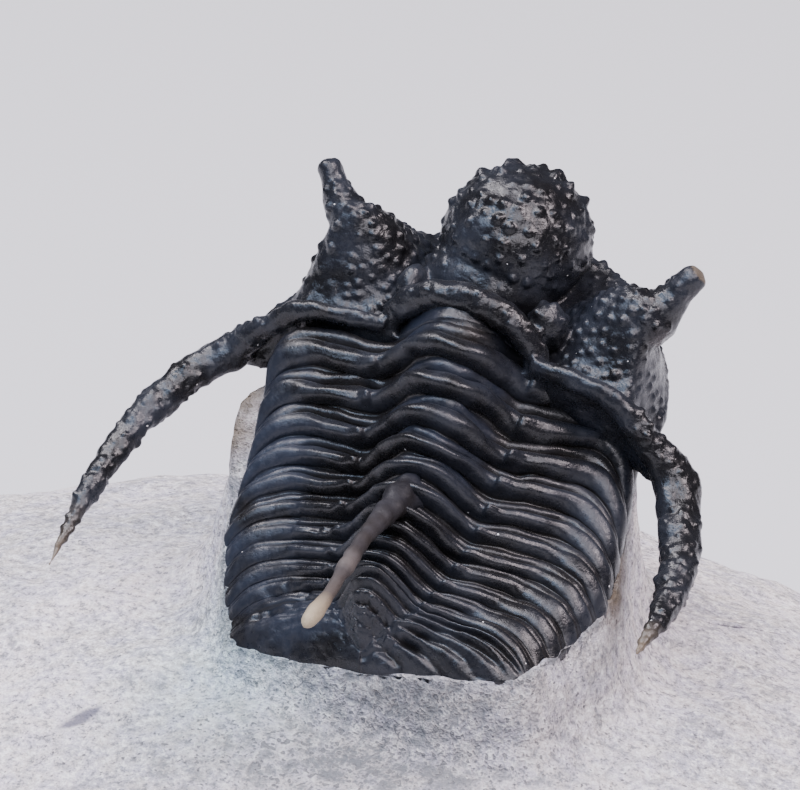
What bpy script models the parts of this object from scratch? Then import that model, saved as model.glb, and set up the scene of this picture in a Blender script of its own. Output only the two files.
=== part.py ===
"""Cyphaspis trilobite left standing on a pedestal of its own limestone.

The fossil is one piece: head shield with a bulbous glabella, eye stalks and genal spines,
eleven thoracic segments of which the sixth carries a long axial spine, and a small tail
shield. The rock is the second piece: a low mound whose pedestal rises under the body.
+Y runs towards the head, +X to the animal's right, +Z up; the rock stands on Z = 0.
"""
import math

import bmesh
import bpy
import numpy as np
from mathutils import Matrix
from mathutils import Vector
from mathutils.bvhtree import BVHTree
from mathutils.kdtree import KDTree

MM = 0.001

# The rock, in millimetres
BLOCK_LENGTH = 51.0
BLOCK_DEPTH = 43.0
CROWN_HEIGHT = 14.8
CROWN_X = -3.5
CROWN_FALL_X = 0.0075
CROWN_FALL_Y = 0.0115
SEAT_GAP = 0.32
PEDESTAL_FLARE = 2.3
PEDESTAL_INSET = 0.35
PEDESTAL_LEDGE = 1.3
BLOCK_CORNERS = (8.0, 52.0, 101.0, 140.0, 187.0, 231.0, 284.0, 322.0)
CORNER_REACH = (1.0, 1.03, 0.95, 1.04, 0.99, 1.03, 0.96, 1.05)

# The body's middle line: sixth thoracic ring at this height, angles in degrees
RING_SIX_HEIGHT = 19.6
SEGMENTS = 11
STATIONS = (1.0, 6.0, 11.0)
PITCH_ANGLES = (43.0, 33.0, 19.5)
YAW_ANGLES = (6.5, -0.9, -2.8)
ROLL_ANGLES = (4.6, -1.4, -6.5)
SPACING_STATIONS = (1.0, 4.0, 7.0, 11.0)
SPACINGS = (1.53, 1.06, 0.82, 0.46)

# Thorax, in millimetres from the middle line at the base of each ring
AXIS_HALF_WIDTHS = (2.54, 2.31, 2.20, 1.61)
AXIS_HEIGHTS = (1.82, 1.72, 1.31)
FULCRUM_HALF_WIDTHS = (5.36, 4.65, 4.0)
FULCRUM_DROP = 1.15
FULCRUM_FORWARD = 0.5
TIP_HALF_WIDTHS = (6.5, 6.7, 5.5)
TIP_BACK = (-1.15, -0.5, -0.75)
TIP_DROP = (-2.1, -1.75, -1.65)
TIP_SKEW_BACK = (0.95, 0.3, 0.0)
TIP_SKEW_DROP = (0.3, 0.5, 0.0)
RIM_THICKNESS = 0.28
GROOVE_DEPTH = 0.32

# Tail shield
TAIL_LENGTH = 2.0
TAIL_RIM_Z = -1.4

# Head shield, in its own frame just ahead of the first ring
HEAD_GAP = 0.94
HEAD_YAW = -5.3
HEAD_PITCH = 16.8
HEAD_ROLL = 4.5
HEAD_HALF_WIDTH = 7.0
HEAD_FRONT = 7.7
HEAD_BACK = -0.55
BORDER_Z = -2.35
UNDERSIDE_Z = -2.75
GLABELLA_CENTRE = (0.0, 4.5, 1.2)
GLABELLA_RADII = (2.68, 2.8, 2.66)
TUBERCLE_HEIGHT = 0.2
SIDE_LOBE_CENTRE = (2.5, 1.4, 0.7)
SIDE_LOBE_RADII = (0.82, 0.82, 1.1)
EYE_BASE = (5.85, 2.95, 1.0)
EYE_TIP = (6.88, 4.05, 2.5)
EYE_STALK_WIDTH = 0.93
LEFT_CHEEK_RISE = 1.2
GENAL_BASE = (8.3, -1.3, -2.1)

# Axial spine of the sixth ring
SPINE_LENGTH = 8.9

# Edges sharper than this, in degrees, stay crisp
SHARP_ANGLE = 48.0


def turn(yaw, pitch, roll):
    """Frame whose columns point to the right, forward and up, from angles in degrees."""
    about_z = Matrix.Rotation(math.radians(yaw), 3, "Z")
    about_x = Matrix.Rotation(math.radians(pitch), 3, "X")
    about_y = Matrix.Rotation(math.radians(roll), 3, "Y")
    return about_z @ about_x @ about_y


def along(position, stations, values):
    return float(np.interp(position, stations, values))


def body_turn(position):
    return turn(
        along(position, STATIONS, YAW_ANGLES),
        along(position, STATIONS, PITCH_ANGLES),
        along(position, STATIONS, ROLL_ANGLES),
    )


def middle_line():
    """Walk the middle line from ring six both ways and keep its points."""
    step = 0.05
    points = {6.0: Vector((0.0, 0.0, RING_SIX_HEIGHT))}
    for direction in (-1, 1):
        place = points[6.0].copy()
        position = 6.0
        while 0.2 < position < 14.5:
            forward = body_turn(position).col[1]
            place = place - direction * step * along(position, SPACING_STATIONS, SPACINGS) * forward
            position = round(position + direction * step, 3)
            points[position] = place.copy()
    return points


MIDDLE = middle_line()
MIDDLE_KEYS = sorted(MIDDLE)


def body_place(position):
    coordinates = []
    for axis in range(3):
        values = [MIDDLE[key][axis] for key in MIDDLE_KEYS]
        coordinates.append(float(np.interp(position, MIDDLE_KEYS, values)))
    return Vector(coordinates)


def body_point(position, local):
    return body_place(position) + body_turn(position) @ Vector(local)


HEAD_TURN = turn(HEAD_YAW, HEAD_PITCH, HEAD_ROLL)
HEAD_PLACE = body_place(1.0) + HEAD_GAP * 0.5 * (HEAD_TURN.col[1] + body_turn(1.0).col[1])


def head_point(local):
    return HEAD_PLACE + HEAD_TURN @ Vector(local)


def smooth(value):
    value = min(max(value, 0.0), 1.0)
    return value * value * (3.0 - 2.0 * value)


# Thorax and tail sections
# share of the segment, relief of the axial ring, relief of the rib
RING_ROWS = ((0.0, -1.0, -1.0), (0.22, 0.3, 0.8), (0.5, 0.9, -0.25), (0.78, 1.0, 0.9))
AXIS_COLUMNS = (0.0, 20.0, 40.0, 58.0, 76.0)
PLEURA_COLUMNS = (0.0, 0.4, 0.75, 1.0)
FLANK_COLUMNS = (0.35, 0.7, 1.0)


def flank_point(position, side, share, relief):
    """Point on the outer, steep part of a rib: share 0 at the fulcrum, 1 at the tip."""
    skew_back = along(position, STATIONS, TIP_SKEW_BACK)
    skew_drop = along(position, STATIONS, TIP_SKEW_DROP)
    fulcrum = Vector((along(position, STATIONS, FULCRUM_HALF_WIDTHS), FULCRUM_FORWARD, -FULCRUM_DROP))
    tip = Vector((
        along(position, STATIONS, TIP_HALF_WIDTHS),
        along(position, STATIONS, TIP_BACK) - side * skew_back,
        along(position, STATIONS, TIP_DROP) - side * skew_drop,
    ))
    outward = Vector((0.35, 0.0, 0.25)) * math.sin(math.pi * share)
    point = fulcrum.lerp(tip, share) + outward + Vector((0.75, 0.0, 0.6)) * relief
    return Vector((side * point.x, point.y, point.z))


def half_section(position, side, ring_relief, rib_relief):
    """Points from the crest of the axis out to the tip on one side."""
    half_axis = along(position, SPACING_STATIONS, AXIS_HALF_WIDTHS)
    height = along(position, STATIONS, AXIS_HEIGHTS)
    fulcrum_width = along(position, STATIONS, FULCRUM_HALF_WIDTHS)
    points = []
    for angle in AXIS_COLUMNS:
        bend = math.radians(angle)
        reach = 1.0 + ring_relief / height
        points.append(Vector((
            side * half_axis * math.sin(bend) * reach,
            0.3 * math.cos(bend) * (1.0 if ring_relief > 0 else 0.4),
            height * math.cos(bend) ** 0.85 * reach,
        )))
    for share in PLEURA_COLUMNS:
        drop = FULCRUM_DROP * share ** 1.6
        inner = half_axis + 0.12
        points.append(Vector((
            side * (inner + (fulcrum_width - inner) * share),
            FULCRUM_FORWARD * share,
            -drop - 0.1 * (1.0 - share) + 0.8 * rib_relief * (0.25 + 0.75 * smooth(share * 3.0)),
        )))
    for share in FLANK_COLUMNS:
        ease = 1.0 - 0.7 * smooth((share - 0.6) / 0.4)
        points.append(flank_point(position, side, share, rib_relief * ease))
    return points


def thorax_rows():
    """Cross sections from the neck to the last ring, each from the left tip to the right tip."""
    rows = []
    for segment in range(1, SEGMENTS + 1):
        for phase, ring, rib in RING_ROWS:
            position = segment - 0.5 + phase
            ring_relief = GROOVE_DEPTH * 0.5 * ring
            rib_relief = GROOVE_DEPTH * 0.5 * rib
            left = half_section(position, -1, ring_relief, rib_relief)
            right = half_section(position, 1, ring_relief, rib_relief)
            section = list(reversed(left[1:])) + right
            rows.append([body_point(position, point) for point in section])
    return rows


def tail_rows():
    """The tail shield: the last section carried back and drawn in to a rounded end."""
    rows = []
    start = SEGMENTS + 0.5
    for index, share in enumerate((0.1, 0.24, 0.38, 0.52, 0.66, 0.8, 0.91, 0.975)):
        narrow = math.sqrt(1.0 - share ** 2)
        relief = 0.5 * GROOVE_DEPTH * (1.0 if index % 2 else -1.0) * (1.0 - share)
        settle = smooth((share - 0.3) / 0.7)
        halves = []
        for side in (-1, 1):
            half = []
            for point in half_section(start, side, relief, relief):
                level = point.z + (TAIL_RIM_Z - point.z) * settle
                back = point.y * (1.0 - share) - TAIL_LENGTH * share
                half.append(body_point(start, (point.x * narrow, back, level)))
            halves.append(half)
        rows.append(list(reversed(halves[0][1:])) + halves[1])
    return rows


def body_rows():
    return thorax_rows() + tail_rows()


def round_off(mesh):
    mesh.shade_smooth()
    mesh.set_sharp_from_angle(angle=math.radians(SHARP_ANGLE))


def new_object(name, bm):
    mesh = bpy.data.meshes.new(name)
    bmesh.ops.triangulate(bm, faces=bm.faces[:])
    bmesh.ops.recalc_face_normals(bm, faces=bm.faces[:])
    bm.to_mesh(mesh)
    bm.free()
    round_off(mesh)
    thing = bpy.data.objects.new(name, mesh)
    bpy.context.scene.collection.objects.link(thing)
    return thing


def strip_faces(bm, rows, closed=False):
    """Quads between neighbouring rows of vertices."""
    for first, second in zip(rows[:-1], rows[1:]):
        count = len(first)
        spans = count if closed else count - 1
        for column in range(spans):
            after = (column + 1) % count
            bm.faces.new((first[column], first[after], second[after], second[column]))


def build_trunk():
    """Thorax and tail as one closed solid, each section closed by a straight line between its tips."""
    bm = bmesh.new()
    rows = body_rows()
    top = [[bm.verts.new(point * MM) for point in row] for row in rows]
    columns = len(rows[0])
    middle = columns // 2
    marks = [0, 3, 7, middle, columns - 8, columns - 4, columns - 1]
    bottom = []
    for row in rows:
        left = row[0] - Vector((0.0, 0.0, RIM_THICKNESS))
        span = row[-1] - row[0]
        line = []
        for mark in marks:
            share = (row[mark] - row[0]).dot(span) / span.length_squared
            line.append(bm.verts.new((left + span * share) * MM))
        bottom.append(line)
    strip_faces(bm, top)
    strip_faces(bm, bottom)
    for first, second in zip(range(len(rows) - 1), range(1, len(rows))):
        for edge in (0, -1):
            bm.faces.new((top[first][edge], top[second][edge], bottom[second][edge], bottom[first][edge]))
    for end in (0, -1):
        for index in range(len(marks) - 1):
            upper = top[end][marks[index]:marks[index + 1] + 1]
            bm.faces.new(upper + [bottom[end][index + 1], bottom[end][index]])
    return new_object("trunk", bm)


def shield_outline(angle):
    """Plan outline of the head shield; angle 0 points to the right, 90 to the front."""
    across = math.cos(angle)
    ahead = math.sin(angle)
    if ahead >= 0.0:
        return HEAD_HALF_WIDTH * across, HEAD_FRONT * ahead
    width = math.copysign(abs(across) ** 0.7, across) * (HEAD_HALF_WIDTH + 0.8 * smooth(-ahead * 3.0))
    back = HEAD_BACK - 0.5 * smooth((abs(width) - 5.8) / 2.0)
    return width, back * min(1.0, -ahead * 4.0)


def shield_height(x, y, share):
    """Height of the head shield; share runs from 0 in its middle to 1 at its margin."""
    across = abs(x)
    mound = 2.35 * math.exp(-(((across - 5.6) / 1.65) ** 2) - (((y - 2.8) / 1.8) ** 2))
    inner = 0.95 * math.exp(-(((across - 3.8) / 1.2) ** 2) - (((y - 2.8) / 1.8) ** 2))
    field = -0.45 + (mound + inner) * (1.0 if x > 0 else LEFT_CHEEK_RISE)
    behind = smooth((0.9 - y) / 1.2) * smooth((7.0 - across) / 1.6)
    margin = BORDER_Z + (0.1 - BORDER_Z) * behind
    return margin + (field - margin) * smooth((1.0 - share) / 0.22)


def build_shield():
    bm = bmesh.new()
    spokes = 40
    shares = (0.22, 0.42, 0.58, 0.72, 0.84, 0.93, 1.0)
    centre = (0.0, 2.6)
    middle = bm.verts.new(head_point((centre[0], centre[1], -0.3)) * MM)
    rings = []
    for share in shares:
        ring = []
        for spoke in range(spokes):
            edge = shield_outline(2.0 * math.pi * (spoke + 0.5) / spokes)
            x = centre[0] + (edge[0] - centre[0]) * share
            y = centre[1] + (edge[1] - centre[1]) * share
            ring.append(bm.verts.new(head_point((x, y, shield_height(x, y, share))) * MM))
        rings.append(ring)
    strip_faces(bm, rings, closed=True)
    under = []
    for share in (1.0, 0.5):
        ring = []
        for spoke in range(spokes):
            edge = shield_outline(2.0 * math.pi * (spoke + 0.5) / spokes)
            x = centre[0] + (edge[0] - centre[0]) * share * 0.985
            y = centre[1] + (edge[1] - centre[1]) * share * 0.985
            ring.append(bm.verts.new(head_point((x, y, UNDERSIDE_Z)) * MM))
        under.append(ring)
    strip_faces(bm, [rings[-1]] + under, closed=True)
    foot = bm.verts.new(head_point((centre[0], centre[1], UNDERSIDE_Z)) * MM)
    for spoke in range(spokes):
        after = (spoke + 1) % spokes
        bm.faces.new((middle, rings[0][spoke], rings[0][after]))
        bm.faces.new((foot, under[-1][after], under[-1][spoke]))
    return new_object("shield", bm)


def curve_through(points, count):
    """Evenly parted points on a smooth curve through the given ones."""
    knots = [Vector(point) for point in points]
    knots = [knots[0] * 2.0 - knots[1]] + knots + [knots[-1] * 2.0 - knots[-2]]
    result = []
    spans = len(knots) - 3
    for index in range(count):
        place = spans * index / (count - 1)
        span = min(int(place), spans - 1)
        t = place - span
        a, b, c, d = knots[span:span + 4]
        result.append(0.5 * (2.0 * b + (c - a) * t + (2.0 * a - 5.0 * b + 4.0 * c - d) * t * t
                             + (3.0 * b - a - 3.0 * c + d) * t * t * t))
    return result


def build_tube(name, points, widths, heights, up, sides=8, bumps=0.0):
    """Closed tube along points, its section an ellipse turned so that its height follows up."""
    bm = bmesh.new()
    rings = []
    count = len(points)
    for index, place in enumerate(points):
        ahead = points[min(index + 1, count - 1)] - points[max(index - 1, 0)]
        ahead.normalize()
        across = ahead.cross(up)
        across.normalize()
        normal = across.cross(ahead)
        share = index / (count - 1)
        width = along(share, np.linspace(0.0, 1.0, len(widths)), widths)
        height = along(share, np.linspace(0.0, 1.0, len(heights)), heights)
        ring = []
        for side in range(sides):
            angle = 2.0 * math.pi * (side + 0.5 * (index % 2)) / sides
            swell = 1.0
            if bumps and 0.12 < share < 0.9 and (side + index) % 2 == 0:
                swell += bumps * (1.0 - 0.5 * share)
            offset = across * math.cos(angle) * width + normal * math.sin(angle) * height
            ring.append(bm.verts.new((place + offset * swell) * MM))
        rings.append(ring)
    strip_faces(bm, rings, closed=True)
    bm.faces.new(rings[0])
    bm.faces.new(rings[-1])
    return new_object(name, bm)


def build_glabella():
    bpy.ops.mesh.primitive_ico_sphere_add(subdivisions=4, radius=1.0)
    ball = bpy.context.object
    ball.name = "glabella"
    vertices = ball.data.vertices
    tree = KDTree(len(vertices))
    for vertex in vertices:
        tree.insert(vertex.co, vertex.index)
    tree.balance()
    knobs = set()
    total = 62
    for index in range(total):
        height = 1.0 - 1.35 * (index + 0.5) / total
        reach = math.sqrt(1.0 - height * height)
        angle = index * math.pi * (3.0 - math.sqrt(5.0))
        direction = Vector((reach * math.cos(angle), reach * math.sin(angle), height))
        knobs.add(tree.find(direction)[1])
    for vertex in vertices:
        direction = vertex.co.copy()
        local = Vector([direction[axis] * GLABELLA_RADII[axis] for axis in range(3)])
        if vertex.index in knobs:
            local += direction * TUBERCLE_HEIGHT
        vertex.co = head_point(Vector(GLABELLA_CENTRE) + local) * MM
    round_off(ball.data)
    return ball


def build_ball(name, centre, radii, subdivisions=3):
    bpy.ops.mesh.primitive_ico_sphere_add(subdivisions=subdivisions, radius=1.0)
    ball = bpy.context.object
    ball.name = name
    for vertex in ball.data.vertices:
        local = Vector([vertex.co[axis] * radii[axis] + centre[axis] for axis in range(3)])
        vertex.co = head_point(local) * MM
    round_off(ball.data)
    return ball


def build_collar():
    """Occipital ring: a band arching over the neck."""
    points = []
    for index in range(13):
        angle = math.radians(-90.0 + 180.0 * index / 12.0)
        arch = math.cos(angle)
        points.append(head_point((2.75 * math.sin(angle), 0.25 * arch, 1.95 * arch - 0.1)))
    return build_tube("collar", points, (0.45, 0.55, 0.45), (0.4, 0.42, 0.4), HEAD_TURN.col[1])


def spine_points(side):
    """Border ridge of the head shield running out into the curved genal spine."""
    if side > 0:
        spine = ((9.05, -2.7, -2.6), (9.75, -4.5, -2.7), (10.15, -6.6, -2.6), (10.2, -9.2, -2.3))
    else:
        spine = ((9.4, -2.6, -2.6), (10.25, -5.0, -3.2), (10.5, -8.0, -3.8), (10.3, -11.3, -4.3))
    border = ((2.7, -0.35, 0.35), (4.3, -0.55, 0.4), (5.8, -0.7, 0.15), (7.2, -0.95, -1.0), GENAL_BASE)
    return [head_point((side * x, y, z)) for x, y, z in border + spine]


def build_spine(side):
    name = "genal_spine_right" if side > 0 else "genal_spine_left"
    points = curve_through(spine_points(side), 34)
    widths = (0.35, 0.4, 0.45, 0.55, 0.72, 0.68, 0.6, 0.42, 0.1)
    heights = (0.4, 0.42, 0.45, 0.5, 0.62, 0.62, 0.55, 0.4, 0.1)
    return build_tube(name, points, widths, heights, HEAD_TURN.col[2], sides=8, bumps=0.17)


def build_eye(side):
    name = "eye_right" if side > 0 else "eye_left"
    base = Vector((side * EYE_BASE[0], EYE_BASE[1], EYE_BASE[2]))
    tip = Vector((side * EYE_TIP[0], EYE_TIP[1], EYE_TIP[2] + (0.0 if side > 0 else 0.45)))
    below = base - (tip - base) * 0.45
    shares = (0.0, 0.2, 0.4, 0.6, 0.8, 0.92, 1.0)
    points = [head_point(below.lerp(tip, share)) for share in shares]
    half = EYE_STALK_WIDTH * 0.5
    sizes = (half * 3.0, half * 2.5, half * 1.5, half * 1.0, half * 1.05, half * 0.85, half * 0.45)
    return build_tube(name, points, sizes, sizes, HEAD_TURN.col[0], sides=8)


def build_axial_spine():
    root = body_point(6.1, (0.0, 0.1, 1.25))
    direction = Vector((-0.02, -1.0, -0.075))
    points = []
    for share in (0.0, 0.08, 0.18, 0.3, 0.45, 0.6, 0.66, 0.72, 0.85, 0.97, 1.0):
        lift = 0.35 * math.sin(math.pi * share)
        points.append(root + direction * SPINE_LENGTH * share + Vector((0.0, 0.0, lift)))
    sizes = (1.05, 0.85, 0.66, 0.56, 0.5, 0.46, 0.48, 0.42, 0.36, 0.32, 0.2)
    return build_tube("axial_spine", points, sizes, sizes, Vector((0.0, 0.0, 1.0)), sides=10)


def join_solids(body, others):
    for other in others:
        modifier = body.modifiers.new("join " + other.name, "BOOLEAN")
        modifier.operation = "UNION"
        modifier.solver = "EXACT"
        modifier.object = other
        other.hide_render = True
        other.display_type = "WIRE"


def material(name, colour, roughness):
    made = bpy.data.materials.new(name)
    made.use_nodes = True
    shader = made.node_tree.nodes["Principled BSDF"]
    shader.inputs["Base Color"].default_value = colour
    shader.inputs["Roughness"].default_value = roughness
    shader.inputs["Metallic"].default_value = 0.0
    return made


def build_trilobite():
    """Returns the whole fossil and its two lowest solids, which the rock follows."""
    trunk = build_trunk()
    shield = build_shield()
    trunk.name = "trilobite"
    parts = [shield, build_glabella(), build_collar()]
    for side in (-1, 1):
        centre = (side * SIDE_LOBE_CENTRE[0], SIDE_LOBE_CENTRE[1], SIDE_LOBE_CENTRE[2])
        name = "side_lobe_right" if side > 0 else "side_lobe_left"
        parts.append(build_ball(name, centre, SIDE_LOBE_RADII))
        parts.append(build_spine(side))
        parts.append(build_eye(side))
    parts.append(build_axial_spine())
    join_solids(trunk, parts)
    trunk.data.materials.append(material("fossil_shell", (0.018, 0.017, 0.018, 1.0), 0.32))
    return trunk, shield


def mound_height(x, y):
    dome = CROWN_HEIGHT - CROWN_FALL_X * (x - CROWN_X) ** 2 - CROWN_FALL_Y * (y - 1.0) ** 2
    ripple = 0.15 * math.sin(0.42 * x + 0.9) * math.cos(0.37 * y - 0.4)
    return dome + ripple + 0.08 * math.sin(0.9 * x - 0.7 * y)


def block_outline(angle):
    """Broken outline of the block: straight breaks between a few corners, slightly bowed."""
    turned = math.degrees(angle) % 360.0
    corners = [corner - 360.0 for corner in BLOCK_CORNERS[-1:]]
    corners += list(BLOCK_CORNERS) + [BLOCK_CORNERS[0] + 360.0]
    reaches = [CORNER_REACH[-1]] + list(CORNER_REACH) + [CORNER_REACH[0]]
    ends = []
    for corner, reach in zip(corners, reaches):
        bend = math.radians(corner)
        round_off = (abs(math.cos(bend)) ** 3.2 + abs(math.sin(bend)) ** 3.2) ** (-1.0 / 3.2)
        ends.append(Vector((math.cos(bend), math.sin(bend))) * reach * round_off)
    index = max(i for i in range(len(corners) - 1) if corners[i] <= turned)
    ray = Vector((math.cos(angle), math.sin(angle)))
    first = ends[index]
    along_side = ends[index + 1] - first
    facing = ray.x * along_side.y - ray.y * along_side.x
    reach = (first.x * along_side.y - first.y * along_side.x) / facing
    share = (turned - corners[index]) / (corners[index + 1] - corners[index])
    reach *= 1.0 + 0.02 * math.sin(math.pi * share) + 0.012 * math.sin(5.0 * math.pi * share + index)
    return Vector((ray.x * reach * BLOCK_LENGTH * 0.5, ray.y * reach * BLOCK_DEPTH * 0.5, 0.0))


def underside_of(things):
    """Search tree over the faces of the given objects, in millimetres."""
    vertices = []
    faces = []
    for thing in things:
        first = len(vertices)
        vertices += [vertex.co / MM for vertex in thing.data.vertices]
        faces += [[first + index for index in face.vertices] for face in thing.data.polygons]
    return BVHTree.FromPolygons(vertices, faces)


def pedestal_lines():
    """Left and right edge of the pedestal top, from the tail to the front of the head."""
    lines = []
    rows = body_rows()
    last = len(rows) - 1
    for index in (last, last - 2, last - 4, last - 6, 40, 36, 32, 28, 24, 20, 16, 12, 8, 4):
        left = rows[index][0]
        right = rows[index][-1]
        across = Vector((right.x - left.x, right.y - left.y, 0.0)).normalized()
        ledge = PEDESTAL_LEDGE * smooth((20 - index) / 16.0)
        lines.append((left + across * (PEDESTAL_INSET - ledge), right - across * PEDESTAL_INSET))
    for forward, half in ((0.8, 5.3), (2.2, 4.8), (3.6, 4.2), (5.0, 3.4), (6.2, 2.3)):
        lines.append((head_point((-half - 0.9, forward, 0.0)), head_point((half, forward, 0.0))))
    return lines


def pedestal_top(things):
    """Grid of points on the pedestal's top, which follows the underside with a small gap."""
    tree = underside_of(things)
    grid = []
    for left, right in pedestal_lines():
        row = []
        for share in (0.0, 0.2, 0.4, 0.6, 0.8, 1.0):
            point = left.lerp(right, share)
            hit = tree.ray_cast(Vector((point.x, point.y, 0.0)), Vector((0.0, 0.0, 1.0)))[0]
            level = hit.z if hit else point.z - RIM_THICKNESS
            row.append(Vector((point.x, point.y, level - SEAT_GAP)))
        grid.append(row)
    return grid


def outward_directions(loop):
    """Level direction away from a closed loop at each of its points, evened out over neighbours."""
    count = len(loop)
    plain = []
    for index in range(count):
        ahead = loop[(index + 2) % count] - loop[index - 2]
        plain.append(Vector((ahead.y, -ahead.x, 0.0)).normalized())
    evened = []
    for index in range(count):
        total = Vector((0.0, 0.0, 0.0))
        for step in range(-2, 3):
            total += plain[(index + step) % count]
        evened.append(total.normalized())
    return evened


def wall_rings(loop):
    """The pedestal's wall from its top edge down to the mound, flaring out at the foot."""
    directions = outward_directions(loop)
    rings = []
    for share, flare in ((0.3, 0.12), (0.62, 0.3), (0.87, 0.55), (1.0, 1.0)):
        ring = []
        for index, (start, away) in enumerate(zip(loop, directions)):
            rough = 1.0 + 0.12 * math.sin(1.1 * index + 4.0 * share)
            foot = start + away * (PEDESTAL_FLARE * flare * rough)
            end = start + away * PEDESTAL_FLARE
            ground = min(mound_height(end.x, end.y), start.z - 0.3)
            foot.z = start.z + (ground - start.z) * share
            ring.append(foot)
        rings.append(ring)
    return rings


def rings_to_edge(foot, edge):
    """From the pedestal's foot over the mound and down the block's broken sides."""
    rings = []
    for share in (0.2, 0.42, 0.64, 0.82, 0.94):
        ring = []
        for point, end in zip(foot, edge):
            place = Vector((point.x, point.y, 0.0)).lerp(end, share)
            place.z = mound_height(place.x, place.y) - 0.5 * smooth((share - 0.75) / 0.2)
            ring.append(place)
        rings.append(ring)
    rim = rings[-1]
    for share, level in ((0.985, 0.86), (1.0, 0.55), (0.985, 0.25), (0.96, 0.0)):
        ring = []
        for index, (end, top) in enumerate(zip(edge, rim)):
            chip = 0.012 * math.sin(1.9 * index + 9.0 * level) * (1.0 if level > 0.0 else 0.0)
            reach = share + chip
            ring.append(Vector((end.x * reach, end.y * reach, top.z * level)))
        rings.append(ring)
    return rings


def mound_rings(foot):
    """The mound, moved until the middle of the block's box lies over the origin."""
    count = len(foot)
    edge = []
    for index, point in enumerate(foot):
        middle = (foot[index - 1] + point + foot[(index + 1) % count]) / 3.0
        edge.append(block_outline(math.atan2(middle.y - 1.0, middle.x)))
    for _ in range(6):
        rings = rings_to_edge(foot, edge)
        across = [point.x for ring in rings for point in ring]
        ahead = [point.y for ring in rings for point in ring]
        shift = Vector((max(across) + min(across), max(ahead) + min(ahead), 0.0)) * 0.5
        edge = [point - shift for point in edge]
    return rings


def build_matrix(things):
    """The block as one skin: pedestal top, walls, mound, broken sides and flat underside."""
    grid = pedestal_top(things)
    bm = bmesh.new()
    top = [[bm.verts.new(point * MM) for point in row] for row in grid]
    strip_faces(bm, top)
    rim = ([row[0] for row in top] + top[-1][1:] + [row[-1] for row in reversed(top[:-1])]
           + list(reversed(top[0][1:-1])))
    loop = [vertex.co / MM for vertex in rim]
    centre = sum(loop, Vector()) / len(loop)
    spin = sum((a - centre).cross(b - centre).z for a, b in zip(loop, loop[1:] + loop[:1]))
    if spin < 0.0:
        rim.reverse()
        loop.reverse()
    walls = wall_rings(loop)
    rings = [rim]
    for ring in walls + mound_rings(walls[-1]):
        rings.append([bm.verts.new(point * MM) for point in ring])
    strip_faces(bm, rings, closed=True)
    bm.faces.new(rings[-1])
    block = new_object("matrix", bm)
    block.data.materials.append(material("limestone", (0.62, 0.61, 0.58, 1.0), 0.92))
    return block


for thing in list(bpy.data.objects):
    bpy.data.objects.remove(thing, do_unlink=True)

fossil, head_shield = build_trilobite()
build_matrix((fossil, head_shield))
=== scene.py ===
"""A spiny trilobite fossil with its eye stalks and long spines freed from the rock, standing on
the pedestal of pale limestone that was left under it. Shapes are worked out in millimetres and
finished in the frame's metres."""
import math
import random

import bpy
import numpy as np
from mathutils import Matrix, Vector, noise
from mathutils.bvhtree import BVHTree
from mathutils.kdtree import KDTree


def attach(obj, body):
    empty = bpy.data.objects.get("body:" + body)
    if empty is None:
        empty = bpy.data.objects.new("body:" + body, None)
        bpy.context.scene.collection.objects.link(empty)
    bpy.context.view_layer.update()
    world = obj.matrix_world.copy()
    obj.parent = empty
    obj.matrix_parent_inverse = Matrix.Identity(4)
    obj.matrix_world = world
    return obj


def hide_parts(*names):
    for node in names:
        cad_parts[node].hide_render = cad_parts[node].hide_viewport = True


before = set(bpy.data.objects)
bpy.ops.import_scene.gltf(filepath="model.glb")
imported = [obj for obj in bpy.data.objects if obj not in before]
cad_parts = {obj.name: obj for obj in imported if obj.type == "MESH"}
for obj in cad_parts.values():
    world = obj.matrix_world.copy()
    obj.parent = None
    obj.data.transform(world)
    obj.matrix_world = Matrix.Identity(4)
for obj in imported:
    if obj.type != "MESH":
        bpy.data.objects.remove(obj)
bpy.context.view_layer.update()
bpy.ops.object.select_all(action="DESELECT")

# Camera. It looks down at the tail from behind, a little from the animal's right, through a
# long lens; the sixth ring of the back is what it is aimed by.
MM = 0.001
RING_SIX = Vector((0.0, 0.0, 19.6))
VIEW_SIDE = math.radians(18.9)
VIEW_DOWN = math.radians(26.0)
VIEW_ROLL = math.radians(2.1)
VIEW_DISTANCE = 166.0
FOCAL_PIXELS = 4980.0
PICTURE = (800.0, 790.0)
RING_SIX_PIXEL = (412.7, 519.2)

forward = Vector((
    -math.sin(VIEW_SIDE) * math.cos(VIEW_DOWN),
    math.cos(VIEW_SIDE) * math.cos(VIEW_DOWN),
    -math.sin(VIEW_DOWN),
))
level = Vector((math.cos(VIEW_SIDE), math.sin(VIEW_SIDE), 0.0))
upright = level.cross(forward)
view_right = level * math.cos(VIEW_ROLL) + upright * math.sin(VIEW_ROLL)
view_up = upright * math.cos(VIEW_ROLL) - level * math.sin(VIEW_ROLL)
aim = forward + view_right * ((PICTURE[0] * 0.5 - RING_SIX_PIXEL[0]) / FOCAL_PIXELS)
aim += view_up * ((RING_SIX_PIXEL[1] - PICTURE[1] * 0.5) / FOCAL_PIXELS)
aim.normalize()
frame_right = (view_right - aim * view_right.dot(aim)).normalized()
frame_up = frame_right.cross(aim)

bpy.ops.object.camera_add()
camera = bpy.context.object
camera.name = "camera"
camera.matrix_world = Matrix.Translation((RING_SIX - forward * VIEW_DISTANCE) * MM) @ Matrix(
    (frame_right, frame_up, -aim)).transposed().to_4x4()
camera.data.sensor_width = 36.0
camera.data.lens = FOCAL_PIXELS * camera.data.sensor_width / PICTURE[0]
camera.data.clip_start = 0.01
camera.data.clip_end = 10.0
bpy.context.scene.camera = camera

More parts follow.
